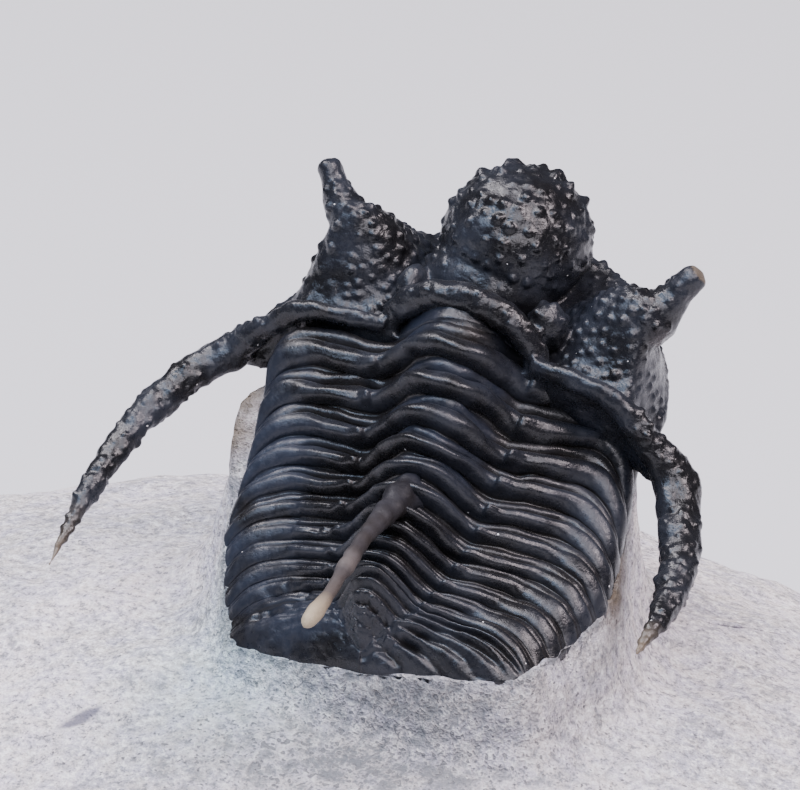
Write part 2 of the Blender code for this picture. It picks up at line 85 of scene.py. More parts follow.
# Thorax. Eleven articulated segments of black calcite shell, grown into one stony piece. Each is
# a raised ring over the axis that runs on, over a knob in the axial furrow, into a ribbed pleura
# which slopes gently as far as the fulcrum and then turns steeply down to its blunt tip.
SEGMENTS = 11
STATIONS = (1.0, 6.0, 11.0)
PITCH_ANGLES = (43.0, 33.0, 19.5)
YAW_ANGLES = (6.5, -0.9, -2.8)
ROLL_ANGLES = (4.6, -1.4, -6.5)
SPACING_STATIONS = (1.0, 4.0, 7.0, 11.0)
SPACINGS = (1.53, 1.06, 0.82, 0.46)
AXIS_HALF_WIDTHS = (2.54, 2.31, 2.20, 1.61)
AXIS_HEIGHTS = (1.82, 1.72, 1.31)
FULCRUM_STATIONS = (1.0, 6.0, 8.0, 11.0)
FULCRUM_HALF_WIDTHS = (5.36, 4.65, 4.3, 2.75)
FULCRUM_DROPS = (1.15, 1.15, 1.05, 0.5)
FULCRUM_FORWARDS = (0.5, 0.5, 0.45, 0.15)
LEFT_FULCRUM_LIFT = 0.48
TIP_HALF_WIDTHS = (6.5, 6.7, 5.5)
TIP_BACK = (-1.5, -1.0, -0.82)
TIP_DROP = (-2.1, -1.75, -1.65)
TIP_SKEW_BACK = (0.6, -0.2, -0.08)
TIP_SKEW_DROP = (0.3, 0.5, 0.0)
RIM_THICKNESS = 0.28
RING_RELIEF = (0.34, 0.31, 0.26, 0.16)
RIB_RELIEF = (0.29, 0.27, 0.21, 0.13)
HALF_RING_END = 0.34
HALF_RING_ROWS = 10
RIDGE_ROWS = 18
SEGMENT_ROWS = HALF_RING_ROWS + RIDGE_ROWS
TUCKED_ROWS = 9
UNDER_STEPS = 12
OVERHANG = 0.02
SECTION_STEPS = 5
FULCRUM_SOFTENING = 24
# Where the two sides differ, 1 is the animal's right and -1 its left
PLEURA_BEND = {-1: 1.25, 1: 1.6}
FLANK_BULGE = {-1: 0.15, 1: 0.28}
FURROW_LEVEL = -0.95
FLANK_LEVEL = -0.9
CRACKED_SEGMENTS = (6, 7)


def turn(yaw, pitch, roll):
    """A turn by three angles in degrees: rolled first, then pitched, then swung about the vertical."""
    about_z = Matrix.Rotation(math.radians(yaw), 3, "Z")
    about_x = Matrix.Rotation(math.radians(pitch), 3, "X")
    about_y = Matrix.Rotation(math.radians(roll), 3, "Y")
    return about_z @ about_x @ about_y


def along(position, stations, values):
    return float(np.interp(position, stations, values))


def ease(value):
    value = np.clip(value, 0.0, 1.0)
    return value * value * (3.0 - 2.0 * value)


def body_turn(position):
    angles = [along(position, STATIONS, turns) for turns in (YAW_ANGLES, PITCH_ANGLES, ROLL_ANGLES)]
    return turn(*angles)


def middle_line():
    """The body's middle line, walked from ring six both ways."""
    step = 0.05
    points = {6.0: RING_SIX.copy()}
    for way in (-1, 1):
        place = RING_SIX.copy()
        position = 6.0
        while -0.6 < position < 14.5:
            spacing = along(position, SPACING_STATIONS, SPACINGS)
            place = place - way * step * spacing * body_turn(position).col[1]
            position = round(position + way * step, 3)
            points[position] = place.copy()
    keys = sorted(points)
    return np.array(keys), np.array([points[key] for key in keys])


MIDDLE_KEYS, MIDDLE_POINTS = middle_line()


def body_place(position):
    return Vector([float(np.interp(position, MIDDLE_KEYS, MIDDLE_POINTS[:, axis])) for axis in range(3)])


def body_frame(position):
    return np.array(body_turn(position)), np.array(body_place(position))


def through_points(knots, steps):
    """Rows of a smooth curve through the knots, with the given steps to each span."""
    knots = np.asarray(knots, dtype=float)
    padded = np.vstack((2.0 * knots[0] - knots[1], knots, 2.0 * knots[-1] - knots[-2]))
    rows = []
    for span in range(len(knots) - 1):
        a, b, c, d = padded[span:span + 4]
        for step in range(steps):
            t = step / steps
            rows.append(0.5 * (2.0 * b + (c - a) * t + (2.0 * a - 5.0 * b + 4.0 * c - d) * t * t
                               + (3.0 * b - a - 3.0 * c + d) * t ** 3))
    rows.append(knots[-1])
    return np.array(rows)


RING_SHARES = (0.0, 0.13, 0.27, 0.41, 0.55, 0.69, 0.83, 0.95)
PLEURA_SHARES = (0.14, 0.36, 0.6, 0.82)
FLANK_SHARES = (0.0, 0.14, 0.32, 0.52, 0.72, 0.88, 1.0)
FURROW = len(RING_SHARES)
FULCRUM = FURROW + 1 + len(PLEURA_SHARES)
TIP = FULCRUM + len(FLANK_SHARES) - 1


def half_section(position, side):
    """Smooth section from the crest of the axis out to the tip, before any relief."""
    half_axis = along(position, SPACING_STATIONS, AXIS_HALF_WIDTHS)
    height = along(position, STATIONS, AXIS_HEIGHTS)
    fulcrum_width = along(position, FULCRUM_STATIONS, FULCRUM_HALF_WIDTHS)
    fulcrum_drop = along(position, FULCRUM_STATIONS, FULCRUM_DROPS)
    fulcrum_forward = along(position, FULCRUM_STATIONS, FULCRUM_FORWARDS)
    if side < 0:
        lift = LEFT_FULCRUM_LIFT * fulcrum_drop
        fulcrum_drop -= lift
        fulcrum_forward -= 0.6 * lift
        fulcrum_width -= 0.34 * lift
    knots = []
    for share in RING_SHARES:
        arch = 0.5 + 0.5 * math.cos(math.pi * share ** 1.4)
        knots.append((half_axis * share, 0.28 * (1.0 - share ** 2), height * arch))
    knots.append((half_axis * 1.05, 0.0, -0.06))
    inner = half_axis * 1.09
    for share in PLEURA_SHARES:
        drop = fulcrum_drop * share ** PLEURA_BEND[side] + 0.1 * (1.0 - share)
        knots.append((inner + (fulcrum_width - inner) * share, fulcrum_forward * share, -drop))
    skew_back = along(position, STATIONS, TIP_SKEW_BACK)
    skew_drop = along(position, STATIONS, TIP_SKEW_DROP)
    fulcrum = np.array((fulcrum_width, fulcrum_forward, -fulcrum_drop))
    tip = np.array((
        along(position, STATIONS, TIP_HALF_WIDTHS),
        along(position, STATIONS, TIP_BACK) - side * skew_back,
        along(position, STATIONS, TIP_DROP) - side * skew_drop,
    ))
    for share in FLANK_SHARES:
        bulge = np.array((0.3, 0.2, FLANK_BULGE[side])) * math.sin(math.pi * share)
        knots.append(tuple(fulcrum + (tip - fulcrum) * share + bulge))
    section = through_points(knots, SECTION_STEPS)
    near_fulcrum = np.exp(-((np.arange(len(section)) / SECTION_STEPS - FULCRUM) / 1.5) ** 2)[1:-1, None]
    for _ in range(FULCRUM_SOFTENING):
        halfway = 0.5 * (section[:-2] + section[2:])
        section[1:-1] += 0.5 * near_fulcrum * (halfway - section[1:-1])
    section[:, 0] *= side
    return section


def whole_section(position):
    """Section from the left tip to the right tip."""
    left = half_section(position, -1)
    right = half_section(position, 1)
    return np.vstack((left[:0:-1], right))


REACH = np.arange(TIP * SECTION_STEPS + 1) / SECTION_STEPS
REACH = np.concatenate((REACH[:0:-1], REACH))
SIDE = np.concatenate((-np.ones(TIP * SECTION_STEPS), np.ones(TIP * SECTION_STEPS + 1)))


def section_in_place(position):
    frame_turn, place = body_frame(position)
    return whole_section(position) @ frame_turn.T + place


def section_normals(position):
    """Outward directions of the smooth back at one section."""
    ahead = section_in_place(position - 0.2) - section_in_place(position + 0.2)
    row = section_in_place(position)
    across = np.gradient(row, axis=0)
    normals = np.cross(across, ahead)
    return row, normals / np.linalg.norm(normals, axis=1)[:, None]


def wobble(points, size, seed):
    """Smooth unevenness between -1 and 1 over a row of points, in grains of the given size."""
    shift = Vector((seed * 7.3, seed * 3.1, seed * 5.7))
    return np.array([noise.noise(Vector(point) / size + shift) for point in points])


def segment_rows():
    """Shares of a segment's length at which it has a row, closer together beside the furrows."""
    shares = []
    for start, end, count in ((0.0, HALF_RING_END, HALF_RING_ROWS), (HALF_RING_END, 1.0, RIDGE_ROWS)):
        for index in range(count):
            shares.append(start + (end - start) * (0.5 - 0.5 * math.cos(math.pi * (index + 0.5) / count)))
    return shares


def segment_shape(share):
    """Rise and fall from front to back, -1 to 1, on the ring, on the rib and on the flank."""
    band = math.sin(math.pi * share)
    if share < HALF_RING_END:
        rise = math.sin(math.pi * share / HALF_RING_END)
        flank = FLANK_LEVEL + 1.6 * band ** 0.5 - 0.25 * (1.0 - rise)
        return FURROW_LEVEL + 0.36 * rise ** 0.8, FURROW_LEVEL + 0.5 * rise ** 0.8, flank
    on_ridge = (share - HALF_RING_END) / (1.0 - HALF_RING_END)
    rise = math.sin(math.pi * on_ridge ** 0.95)
    lines = 0.12 * (0.5 - 0.5 * math.cos(6.0 * math.pi * on_ridge)) * rise
    flank = FLANK_LEVEL + 1.75 * band ** 0.5 - 0.25 * math.exp(-((on_ridge / 0.12) ** 2))
    return FURROW_LEVEL + 1.95 * rise ** 0.6, FURROW_LEVEL + 1.9 * rise ** 0.6 - lines, flank


# Worn or broken spots: position along the back, side, reach, spread along, spread across, depth
SPOTS = ((11.1, -1, FULCRUM - 0.6, 0.5, 1.0, 0.34), (10.4, -1, FULCRUM + 1.6, 0.5, 1.3, 0.2),
         (7.1, -1, FURROW + 1.7, 0.22, 1.3, 0.24), (2.0, -1, FURROW + 0.9, 0.3, 0.7, 0.18),
         (3.4, 1, FURROW + 1.2, 0.25, 0.6, 0.14))


def segment_relief(position, segment, share, row):
    """How far one row of a segment stands above the smooth back, and the lean of its ridge."""
    ring, rib, flank = segment_shape(share)
    ring_height = along(position, SPACING_STATIONS, RING_RELIEF)
    rib_height = along(position, SPACING_STATIONS, RIB_RELIEF)
    over_axis = 1.0 - ease((REACH - FURROW + 1.2) / 1.6)
    over_pleura = 1.0 - over_axis
    over_flank = ease((REACH - FULCRUM + 2.0) / 4.2)
    flank_height = 0.62 * (1.0 - 0.75 * ease((REACH - TIP + 2.0) / 2.0))
    pleura = rib * (1.0 - over_flank) + flank * over_flank * flank_height
    relief = over_axis * ring_height * ring + over_pleura * rib_height * pleura
    thick = 1.0 + 0.45 * wobble(row, 1.3, segment)
    knob = np.exp(-((REACH - FURROW - 0.2) / 0.7) ** 2) * max(0.0, rib) * 1.1 * rib_height
    relief = relief * thick + knob * (1.0 + 0.5 * wobble(row, 0.9, 90)) + 0.035 * wobble(row, 0.55, 20)
    for along_at, side, reach, long_spread, wide_spread, depth in SPOTS:
        near = math.exp(-((position - along_at) / long_spread) ** 2)
        near = near * np.exp(-((REACH - reach) / wide_spread) ** 2) * (SIDE == side)
        relief = relief - depth * near * (1.0 + 0.8 * wobble(row, 0.35, 33))
    crack = ease((REACH - FULCRUM + 0.9) / 0.5) * (SIDE < 0) * (segment in CRACKED_SEGMENTS)
    lean = OVERHANG * max(0.0, ring) * (1.0 - 0.6 * over_flank) + 0.05 * math.sin(2.3 * segment) * crack
    return relief - 0.045 * crack, lean


def build_back_rows():
    """The first half ring, tucked in under the head shield, and then every segment in turn."""
    rows = []
    reliefs = []
    for position in np.linspace(-0.02, 0.47, TUCKED_ROWS):
        row, normals = section_normals(float(position))
        sunk = -0.2 - 0.5 * ease((REACH - FURROW + 2.5) / 3.0) - 0.25 * (0.5 - position)
        rows.append(row + normals * sunk[:, None])
        reliefs.append(np.zeros(len(row)))
    for segment in range(1, SEGMENTS + 1):
        for share in segment_rows():
            position = segment - 0.5 + share
            row, normals = section_normals(position)
            spacing = along(position, SPACING_STATIONS, SPACINGS)
            backward = -np.array(body_turn(position).col[1])
            relief, lean = segment_relief(position, segment, share, row)
            lean = lean + 0.22 * wobble(row, 2.1, 40 + segment) + 0.06 * wobble(row, 0.8, 60)
            rows.append(row + normals * relief[:, None] + backward * (lean * spacing)[:, None])
            ring, rib, _ = segment_shape(share)
            reliefs.append(ring * (REACH < FURROW) + rib * (REACH >= FURROW))
    return rows, reliefs


# Tail shield. A tapering axis with small rings, and ribs that fan out beside it to the margin with
# leaf-shaped hollows between them; its left side is worn smooth. One piece with the thorax.
TAIL_LENGTH = 2.0
TAIL_RIM_Z = -1.4
TAIL_AXIS_LENGTH = 1.55
TAIL_RINGS = 4.6
TAIL_RIBS = 6.0
TAIL_ROWS = 90
TAIL_SHADE = 4.0
TAIL_RING_HEIGHT = 0.42
TAIL_KNOB_HEIGHT = 0.11
LEAF_DEPTH = 0.3
LEFT_RIB_SHARE = 0.16


def tail_spot(row, share, middle, spread):
    """Fades out around a spot; both its places are a way across and a share of the tail's length."""
    return np.exp(-((row[:, 0] - middle[0]) / spread[0]) ** 2 - ((share - middle[1]) / spread[1]) ** 2)


def tail_row(share, flat, frame_turn, place):
    """One row of the tail shield: from its left margin over the axis to its right margin. Share
    runs from 0 at the thorax to 1 where both margins and the end of the axis come together."""
    swing = math.sin(0.5 * math.pi * share)
    narrow = math.sqrt(max(0.0, 1.0 - swing ** 2))
    row = np.zeros_like(flat)
    left_over = 1.0 - share
    low = 1.0 - 0.55 * share ** 1.5
    middle = len(flat) // 2
    reliefs = np.zeros(len(flat))
    for side in (-1, 1):
        picked = SIDE == side
        half = flat[picked]
        reach = REACH[picked]
        furrow = flat[middle + side * FURROW * SECTION_STEPS]
        tip = half[0] if side < 0 else half[-1]
        beside = np.array((furrow[0] * left_over ** 0.75, furrow[1] - TAIL_AXIS_LENGTH * share, 0.0))
        margin = np.array((tip[0] * narrow, tip[1] * (1.0 - swing) - TAIL_LENGTH * swing, 0.0))
        rim = tip[2] + (TAIL_RIM_Z - tip[2]) * float(ease(share / 0.5))
        out = np.clip((half[:, 0] - furrow[0]) / (tip[0] - furrow[0]), 0.0, 1.0)[:, None]
        bow = half[:, 1] - (furrow[1] + (tip[1] - furrow[1]) * out[:, 0])
        field = beside * (1.0 - out) + margin * out
        field[:, 1] += bow * left_over
        field[:, 2] = rim + (half[:, 2] - tip[2]) * low
        on_axis = reach < FURROW
        across = half[:, 0] / furrow[0]
        crest = rim + (furrow[2] - tip[2]) * low + (half[:, 2] - furrow[2]) * left_over ** 0.5
        axis = np.column_stack((beside[0] * across, beside[1] + (half[:, 1] - furrow[1]) * left_over, crest))
        row[picked] = np.where(on_axis[:, None], axis, field)
        outward = out[:, 0]
        hollow = 0.5 + 0.5 * math.cos(2.0 * math.pi * (TAIL_RIBS * share ** 0.85))
        leaf = np.sin(math.pi * np.clip(outward * 1.02, 0.0, 1.0)) ** 0.5
        worn = 1.0 if side > 0 else LEFT_RIB_SHARE
        fade = min(1.0, left_over / 0.12)
        ribs = (0.08 - LEAF_DEPTH * hollow ** 1.3) * leaf * worn * fade * (1.0 - on_axis)
        wave = 0.5 + 0.5 * math.cos(2.0 * math.pi * TAIL_RINGS * share)
        rings = TAIL_RING_HEIGHT * (wave ** 0.7 - 0.65) * np.clip((1.1 - np.abs(across)) * 3.0, 0.0, 1.0)
        rings *= on_axis * left_over ** 0.9
        knobs = TAIL_KNOB_HEIGHT * wave * np.exp(-((reach - FURROW - 0.3) / 0.8) ** 2) * left_over ** 0.4
        reliefs[picked] = ribs + rings + knobs
    world = row @ frame_turn.T + place
    reliefs *= np.clip(1.0 + 0.9 * wobble(world, 0.9, 12) * min(1.0, 3.0 * share), 0.3, 1.8)
    reliefs += (0.06 * wobble(world, 0.7, 3) + 0.035 * wobble(world, 0.25, 5)) * min(1.0, left_over / 0.2)
    crumbled = tail_spot(row, share, (0.25, 0.62), (0.9, 0.22))
    reliefs += 0.2 * crumbled * (wobble(world, 0.3, 8) + 0.6 * wobble(world, 0.14, 9))
    chip = tail_spot(row, share, (-3.7, 0.1), (0.8, 0.12))
    reliefs -= 0.28 * chip * (1.0 + 0.8 * wobble(world, 0.3, 6))
    return world, reliefs


def build_tail_rows():
    rows = []
    reliefs = []
    start = SEGMENTS + 0.5
    frame_turn, place = body_frame(start)
    for index in range(1, TAIL_ROWS + 1):
        share = index / TAIL_ROWS
        row, relief = tail_row(share, whole_section(start), frame_turn, place)
        rows.append(row + np.outer(relief, frame_turn[:, 2]))
        reliefs.append(relief * TAIL_SHADE)
    return rows, reliefs


def move_to(piece, points):
    """Puts every vertex at its point."""
    piece.data.vertices.foreach_set("co", points.reshape(-1))
    piece.data.update()


def closed_loft(name, rows):
    """One closed skin over closed rows of points: a grid rolled up, seamed, and capped at both ends."""
    rows = np.asarray(rows)
    count, around = rows.shape[:2]
    bpy.ops.mesh.primitive_grid_add(x_subdivisions=around, y_subdivisions=count - 1, size=1.0)
    piece = bpy.context.object
    piece.name = name
    piece.data.name = name
    move_to(piece, np.concatenate((rows, rows[:, :1]), axis=1))
    bpy.ops.object.mode_set(mode="EDIT")
    bpy.ops.mesh.select_all(action="SELECT")
    bpy.ops.mesh.remove_doubles(threshold=1e-5)
    bpy.ops.mesh.select_all(action="DESELECT")
    bpy.ops.mesh.select_non_manifold()
    bpy.ops.mesh.fill_holes(sides=0)
    bpy.ops.mesh.select_all(action="SELECT")
    bpy.ops.mesh.normals_make_consistent(inside=False)
    bpy.ops.object.mode_set(mode="OBJECT")
    bpy.ops.object.select_all(action="DESELECT")
    return piece


def finished(piece):
    """From millimetres to the frame's metres, smooth all over."""
    piece.data.transform(Matrix.Scale(MM, 4))
    piece.data.polygons.foreach_set("use_smooth", [True] * len(piece.data.polygons))
    piece.data.update()
    return piece


back_rows, back_reliefs = build_back_rows()
tail_rows, tail_reliefs = build_tail_rows()
loops = []
relief_loops = []
for row, relief in zip(back_rows + tail_rows, back_reliefs + tail_reliefs):
    left = row[0] - np.array((0.0, 0.0, RIM_THICKNESS))
    right = row[-1] - np.array((0.0, 0.0, RIM_THICKNESS))
    under = right + (left - right) * np.linspace(0.0, 1.0, UNDER_STEPS)[:, None]
    loops.append(np.vstack((row, under)))
    relief_loops.append(np.concatenate((relief, np.zeros(UNDER_STEPS))))
thorax = closed_loft("thorax_and_tail", loops)


def nearest_tree(points):
    """A tree that finds the nearest of the given points."""
    tree = KDTree(len(points))
    for index, point in enumerate(points):
        tree.insert(point, index)
    tree.balance()
    return tree


def store(piece, name, values):
    """Keeps a value on every vertex, for the piece's material to read."""
    piece.data.attributes.new(name, "FLOAT", "POINT").data.foreach_set("value", values)


def store_nearest(piece, points, **lists):
    """Keeps on every vertex the values that belong to the nearest of the given points."""
    tree = nearest_tree(points)
    nearest = [tree.find(vertex.co)[1] for vertex in piece.data.vertices]
    for name, values in lists.items():
        store(piece, name, values[nearest])


# Painted cool sheen: the left flank, the half rings of the front segments and the tail's left side get a
# bluish tint that stands in for the cool left light's reflection.
COOL_SHEEN_SEGMENTS = 5
cool_loops = []
for index in range(len(loops)):
    cool = (SIDE < 0) * ease((REACH - FULCRUM + 2.5) / 3.0)
    segment, within = divmod(index - TUCKED_ROWS, SEGMENT_ROWS)
    if index < TUCKED_ROWS or segment < COOL_SHEEN_SEGMENTS and within < HALF_RING_ROWS:
        cool = np.maximum(cool, 1.0 - ease((REACH - FURROW + 3.0) / 1.5))
    if segment >= SEGMENTS:
        share = (index + 1 - len(back_rows)) / TAIL_ROWS
        cool = (SIDE < 0) * ease((REACH - FURROW + 2.5) / 2.0) * (1.0 - ease((share - 0.55) / 0.35))
    cool_loops.append(np.concatenate((cool, np.zeros(UNDER_STEPS))))
store_nearest(thorax, np.concatenate(loops), relief=np.concatenate(relief_loops),
              cool=np.concatenate(cool_loops))


def join(tree, source, target):
    """Feeds a socket from another one, or sets it where the source is a plain value."""
    if isinstance(source, (int, float, tuple)):
        target.default_value = source
    else:
        tree.links.new(source, target)


def new_group(name, inputs, outputs):
    """An empty shader group: a Place and the named numbers go in, named numbers come out."""
    group = bpy.data.node_groups.new(name, "ShaderNodeTree")
    group.interface.new_socket("Place", in_out="INPUT", socket_type="NodeSocketVector")
    for label, value in inputs.items():
        socket = group.interface.new_socket(label, in_out="INPUT", socket_type="NodeSocketFloat")
        socket.default_value = value
    for label in outputs:
        group.interface.new_socket(label, in_out="OUTPUT", socket_type="NodeSocketFloat")
    entry = group.nodes.new("NodeGroupInput")
    leave = group.nodes.new("NodeGroupOutput")
    return group, entry.outputs, leave.inputs


def math_node(tree, operation, first, second):
    node = tree.nodes.new("ShaderNodeMath")
    node.operation = operation
    join(tree, first, node.inputs[0])
    join(tree, second, node.inputs[1])
    return node.outputs["Value"]


def plus(tree, first, second):
    return math_node(tree, "ADD", first, second)


def times(tree, first, second):
    return math_node(tree, "MULTIPLY", first, second)


def spread_node(tree, value, low, high, to_low, to_high):
    """Carries a value from one range to another, held at the ends."""
    node = tree.nodes.new("ShaderNodeMapRange")
    node.interpolation_type = "SMOOTHSTEP"
    labels = ("Value", "From Min", "From Max", "To Min", "To Max")
    for label, number in zip(labels, (value, low, high, to_low, to_high)):
        join(tree, number, node.inputs[label])
    return node.outputs["Result"]


def blend_colours(tree, share, first, second, way="MIX"):
    node = tree.nodes.new("ShaderNodeMix")
    node.data_type = "RGBA"
    node.blend_type = way
    for label, value in (("Factor", share), ("A", first), ("B", second)):
        join(tree, value, node.inputs[label])
    return node.outputs["Result"]


def noise_node(tree, place, scale, detail, roughness):
    node = tree.nodes.new("ShaderNodeTexNoise")
    for label, value in (("Vector", place), ("Scale", scale), ("Detail", detail), ("Roughness", roughness)):
        join(tree, value, node.inputs[label])
    return node.outputs["Fac"]


def grain_group():
    """Uneven natural surface: a coarse and a fine noise, as a height and as a shade."""
    numbers = {"Coarse Scale": 3000.0, "Fine Scale": 9000.0, "Fine Share": 0.4}
    group, entry, leave = new_group("grain", numbers, ("Height", "Shade"))
    coarse = noise_node(group, entry["Place"], entry["Coarse Scale"], 3.0, 0.55)
    fine = noise_node(group, entry["Place"], entry["Fine Scale"], 2.0, 0.6)
    join(group, plus(group, coarse, times(group, fine, entry["Fine Share"])), leave["Height"])
    join(group, spread_node(group, coarse, 0.32, 0.68, 0.0, 1.0), leave["Shade"])
    return group


def specks_group():
    """Small separate dots, such as dust on shell, as a mask."""
    group, entry, leave = new_group("specks", {"Scale": 1200.0, "Size": 0.1, "Share": 0.5}, ("Mask",))
    cells = group.nodes.new("ShaderNodeTexVoronoi")
    join(group, entry["Place"], cells.inputs["Vector"])
    join(group, entry["Scale"], cells.inputs["Scale"])
    parts = group.nodes.new("ShaderNodeSeparateColor")
    join(group, cells.outputs["Color"], parts.inputs["Color"])
    chosen = math_node(group, "LESS_THAN", parts.outputs["Red"], entry["Share"])
    size = times(group, entry["Size"], plus(group, parts.outputs["Green"], 0.35))
    inside = math_node(group, "LESS_THAN", cells.outputs["Distance"], size)
    join(group, times(group, inside, chosen), leave["Mask"])
    return group


GRAIN = grain_group()
SPECKS = specks_group()


def group_node(tree, group, values):
    node = tree.nodes.new("ShaderNodeGroup")
    node.node_tree = group
    for label, value in values.items():
        join(tree, value, node.inputs[label])
    return node.outputs


def grain_node(tree, place, coarse, fine, fine_share):
    return group_node(tree, GRAIN, {"Place": place, "Coarse Scale": coarse, "Fine Scale": fine,
                                    "Fine Share": fine_share})


def start_material(name):
    made = bpy.data.materials.new(name)
    made.use_nodes = True
    tree = made.node_tree
    place = tree.nodes.new("ShaderNodeTexCoord").outputs["Object"]
    return made, tree, tree.nodes["Principled BSDF"], place


def attribute_value(tree, name):
    node = tree.nodes.new("ShaderNodeAttribute")
    node.attribute_name = name
    return node.outputs["Fac"]


def bump_onto(tree, shader, height, distance, strength):
    bump = tree.nodes.new("ShaderNodeBump")
    for label, value in (("Height", height), ("Distance", distance), ("Strength", strength)):
        join(tree, value, bump.inputs[label])
    join(tree, bump.outputs["Normal"], shader.inputs["Normal"])


BLACK_SHELL = (0.006, 0.0057, 0.0065, 1.0)
BLUE_BLACK_SHELL = (0.016, 0.0185, 0.0255, 1.0)
BROWN_SHELL = (0.011, 0.009, 0.008, 1.0)
PAINTED_COOL_SHEEN = (0.013, 0.017, 0.028, 1.0)
DUST_WHITE = (0.62, 0.61, 0.6, 1.0)
NOTHING_ADDED = (0.0, 0.0, 0.0, 1.0)
WRINKLE_DEPTH = 0.00003


def shell_material(name, stops, wrinkles, gloss, shine):
    """Black calcite shell with a wet polish; stops give how it pales along a spine to its tip."""
    made, tree, shader, place = start_material(name)
    broad = grain_node(tree, place, 420.0, 2600.0, 0.35)["Shade"]
    ripple = grain_node(tree, place, 1700.0, 4300.0, 0.5)["Height"]
    fine = grain_node(tree, place, 5200.0, 17000.0, 0.45)["Height"]
    dust = group_node(tree, SPECKS, {"Place": place, "Scale": 1700.0, "Size": 0.055, "Share": 0.34})["Mask"]
    cool = attribute_value(tree, "cool")
    colour = blend_colours(tree, broad, BLACK_SHELL, BLUE_BLACK_SHELL)
    low = spread_node(tree, attribute_value(tree, "relief"), -0.9, -0.2, 0.75, 0.0)
    colour = blend_colours(tree, low, colour, BROWN_SHELL)
    # Painted reflection: a bluish slate where the cool left light would be mirrored, patchy with the broad
    # grain; the same mask also dulls the polish a little.
    colour = blend_colours(tree, times(tree, cool, broad), colour, PAINTED_COOL_SHEEN)
    ramp = tree.nodes.new("ShaderNodeValToRGB")
    points = ramp.color_ramp.elements
    while len(points) < len(stops):
        points.new(0.5)
    for point, (place_on, shade) in zip(points, stops):
        point.position = place_on
        point.color = shade
    uneven_tip = plus(tree, attribute_value(tree, "tip"), times(tree, broad, 0.05))
    join(tree, uneven_tip, ramp.inputs["Fac"])
    colour = blend_colours(tree, 1.0, colour, ramp.outputs["Color"], "ADD")
    join(tree, blend_colours(tree, dust, colour, DUST_WHITE), shader.inputs["Base Color"])
    rough = spread_node(tree, fine, 0.5, 0.95, gloss, gloss + 0.19)
    for duller, share in ((broad, 0.1), (dust, 0.4), (cool, 0.06)):
        rough = plus(tree, rough, times(tree, duller, share))
    join(tree, rough, shader.inputs["Roughness"])
    shader.inputs["Specular IOR Level"].default_value = shine
    bump_onto(tree, shader, plus(tree, times(tree, ripple, wrinkles), fine), WRINKLE_DEPTH, 0.6)
    return made


fossil_shell = shell_material("fossil_shell", (
    (0.0, NOTHING_ADDED), (1.0, (0.01, 0.008, 0.006, 1.0)),
), wrinkles=0.6, gloss=0.17, shine=0.4)
thorax.data.materials.append(fossil_shell)
finished(thorax)
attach(thorax, "root")
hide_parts("trilobite")

# Axial spine. A long backward spine on the sixth ring, round in section, bent a little upward,
# with a worn swelling near its blunt end; dark at its root and cream where the shell is thin.
SPINE_LENGTH = 8.9
SPINE_WAY = Vector((-0.02, -1.0, -0.075))
SPINE_SIZES = (0.6, 0.7, 0.7, 0.6, 0.5, 0.43, 0.38, 0.34, 0.30, 0.27, 0.25, 0.24, 0.28, 0.30, 0.24, 0.21,
               0.21, 0.23, 0.27, 0.27, 0.22)
SPINE_SPANS = 8
SPINE_ROWS = 60


def tube_rows(points, widths, heights, up, sides, uneven, seed):
    """Rows of a round bar along the points, its section following up."""
    rows = []
    count = len(points)
    angles = np.linspace(0.0, 2.0 * math.pi, sides, endpoint=False)
    for index in range(count):
        ahead = Vector(points[min(index + 1, count - 1)] - points[max(index - 1, 0)]).normalized()
        across = ahead.cross(up).normalized()
        normal = across.cross(ahead)
        width = along(index / (count - 1), np.linspace(0.0, 1.0, len(widths)), widths)
        height = along(index / (count - 1), np.linspace(0.0, 1.0, len(heights)), heights)
        ring = np.outer(np.cos(angles) * width, np.array(across))
        ring = ring + np.outer(np.sin(angles) * height, np.array(normal))
        rough = 1.0 + uneven * wobble(ring + points[index], 0.5, seed)
        rows.append(points[index] + ring * rough[:, None])
    return rows


spine_root = body_place(6.1) + body_turn(6.1) @ Vector((0.0, 0.15, 1.3))
spine_knots = [np.array(body_place(6.0) + body_turn(6.0) @ Vector((0.0, 0.75, 0.8)))]
for step in range(SPINE_SPANS + 1):
    share = step / SPINE_SPANS
    lift = Vector((-0.1 * math.sin(2.0 * math.pi * share), 0.0, 0.35 * math.sin(math.pi * share)))
    spine_knots.append(np.array(spine_root + SPINE_WAY * SPINE_LENGTH * share + lift))
spine_line = through_points(spine_knots, 16)
spine_shares = np.linspace(0.0, 1.0, SPINE_ROWS)
spine_sizes = np.interp(spine_shares, np.linspace(0.0, 1.0, len(SPINE_SIZES)), SPINE_SIZES)
rounded = np.sqrt(1.0 - np.clip((spine_shares - 0.965) / 0.036, 0.0, 1.0) ** 2)
spine_sizes = spine_sizes * np.maximum(rounded, 0.06)
axial_spine = closed_loft("axial_spine", tube_rows(
    spine_line, spine_sizes, spine_sizes, Vector((0.0, 0.0, 1.0)), 32, 0.22, 60))
store_nearest(axial_spine, spine_line, tip=np.linspace(0.0, 1.0, len(spine_line)))
axial_spine.data.materials.append(shell_material("spine_shell", (
    (0.0, NOTHING_ADDED), (0.17, (0.002, 0.001, 0.001, 1.0)), (0.34, (0.011, 0.008, 0.006, 1.0)),
    (0.6, (0.021, 0.0155, 0.0115, 1.0)), (0.68, (0.08, 0.066, 0.057, 1.0)),
    (0.74, (0.03, 0.022, 0.016, 1.0)), (0.88, (0.055, 0.04, 0.026, 1.0)),
    (0.95, (0.22, 0.17, 0.105, 1.0)), (1.0, (0.29, 0.235, 0.15, 1.0)),
), wrinkles=1.2, gloss=0.36, shine=0.22))
finished(axial_spine)
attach(axial_spine, "root")

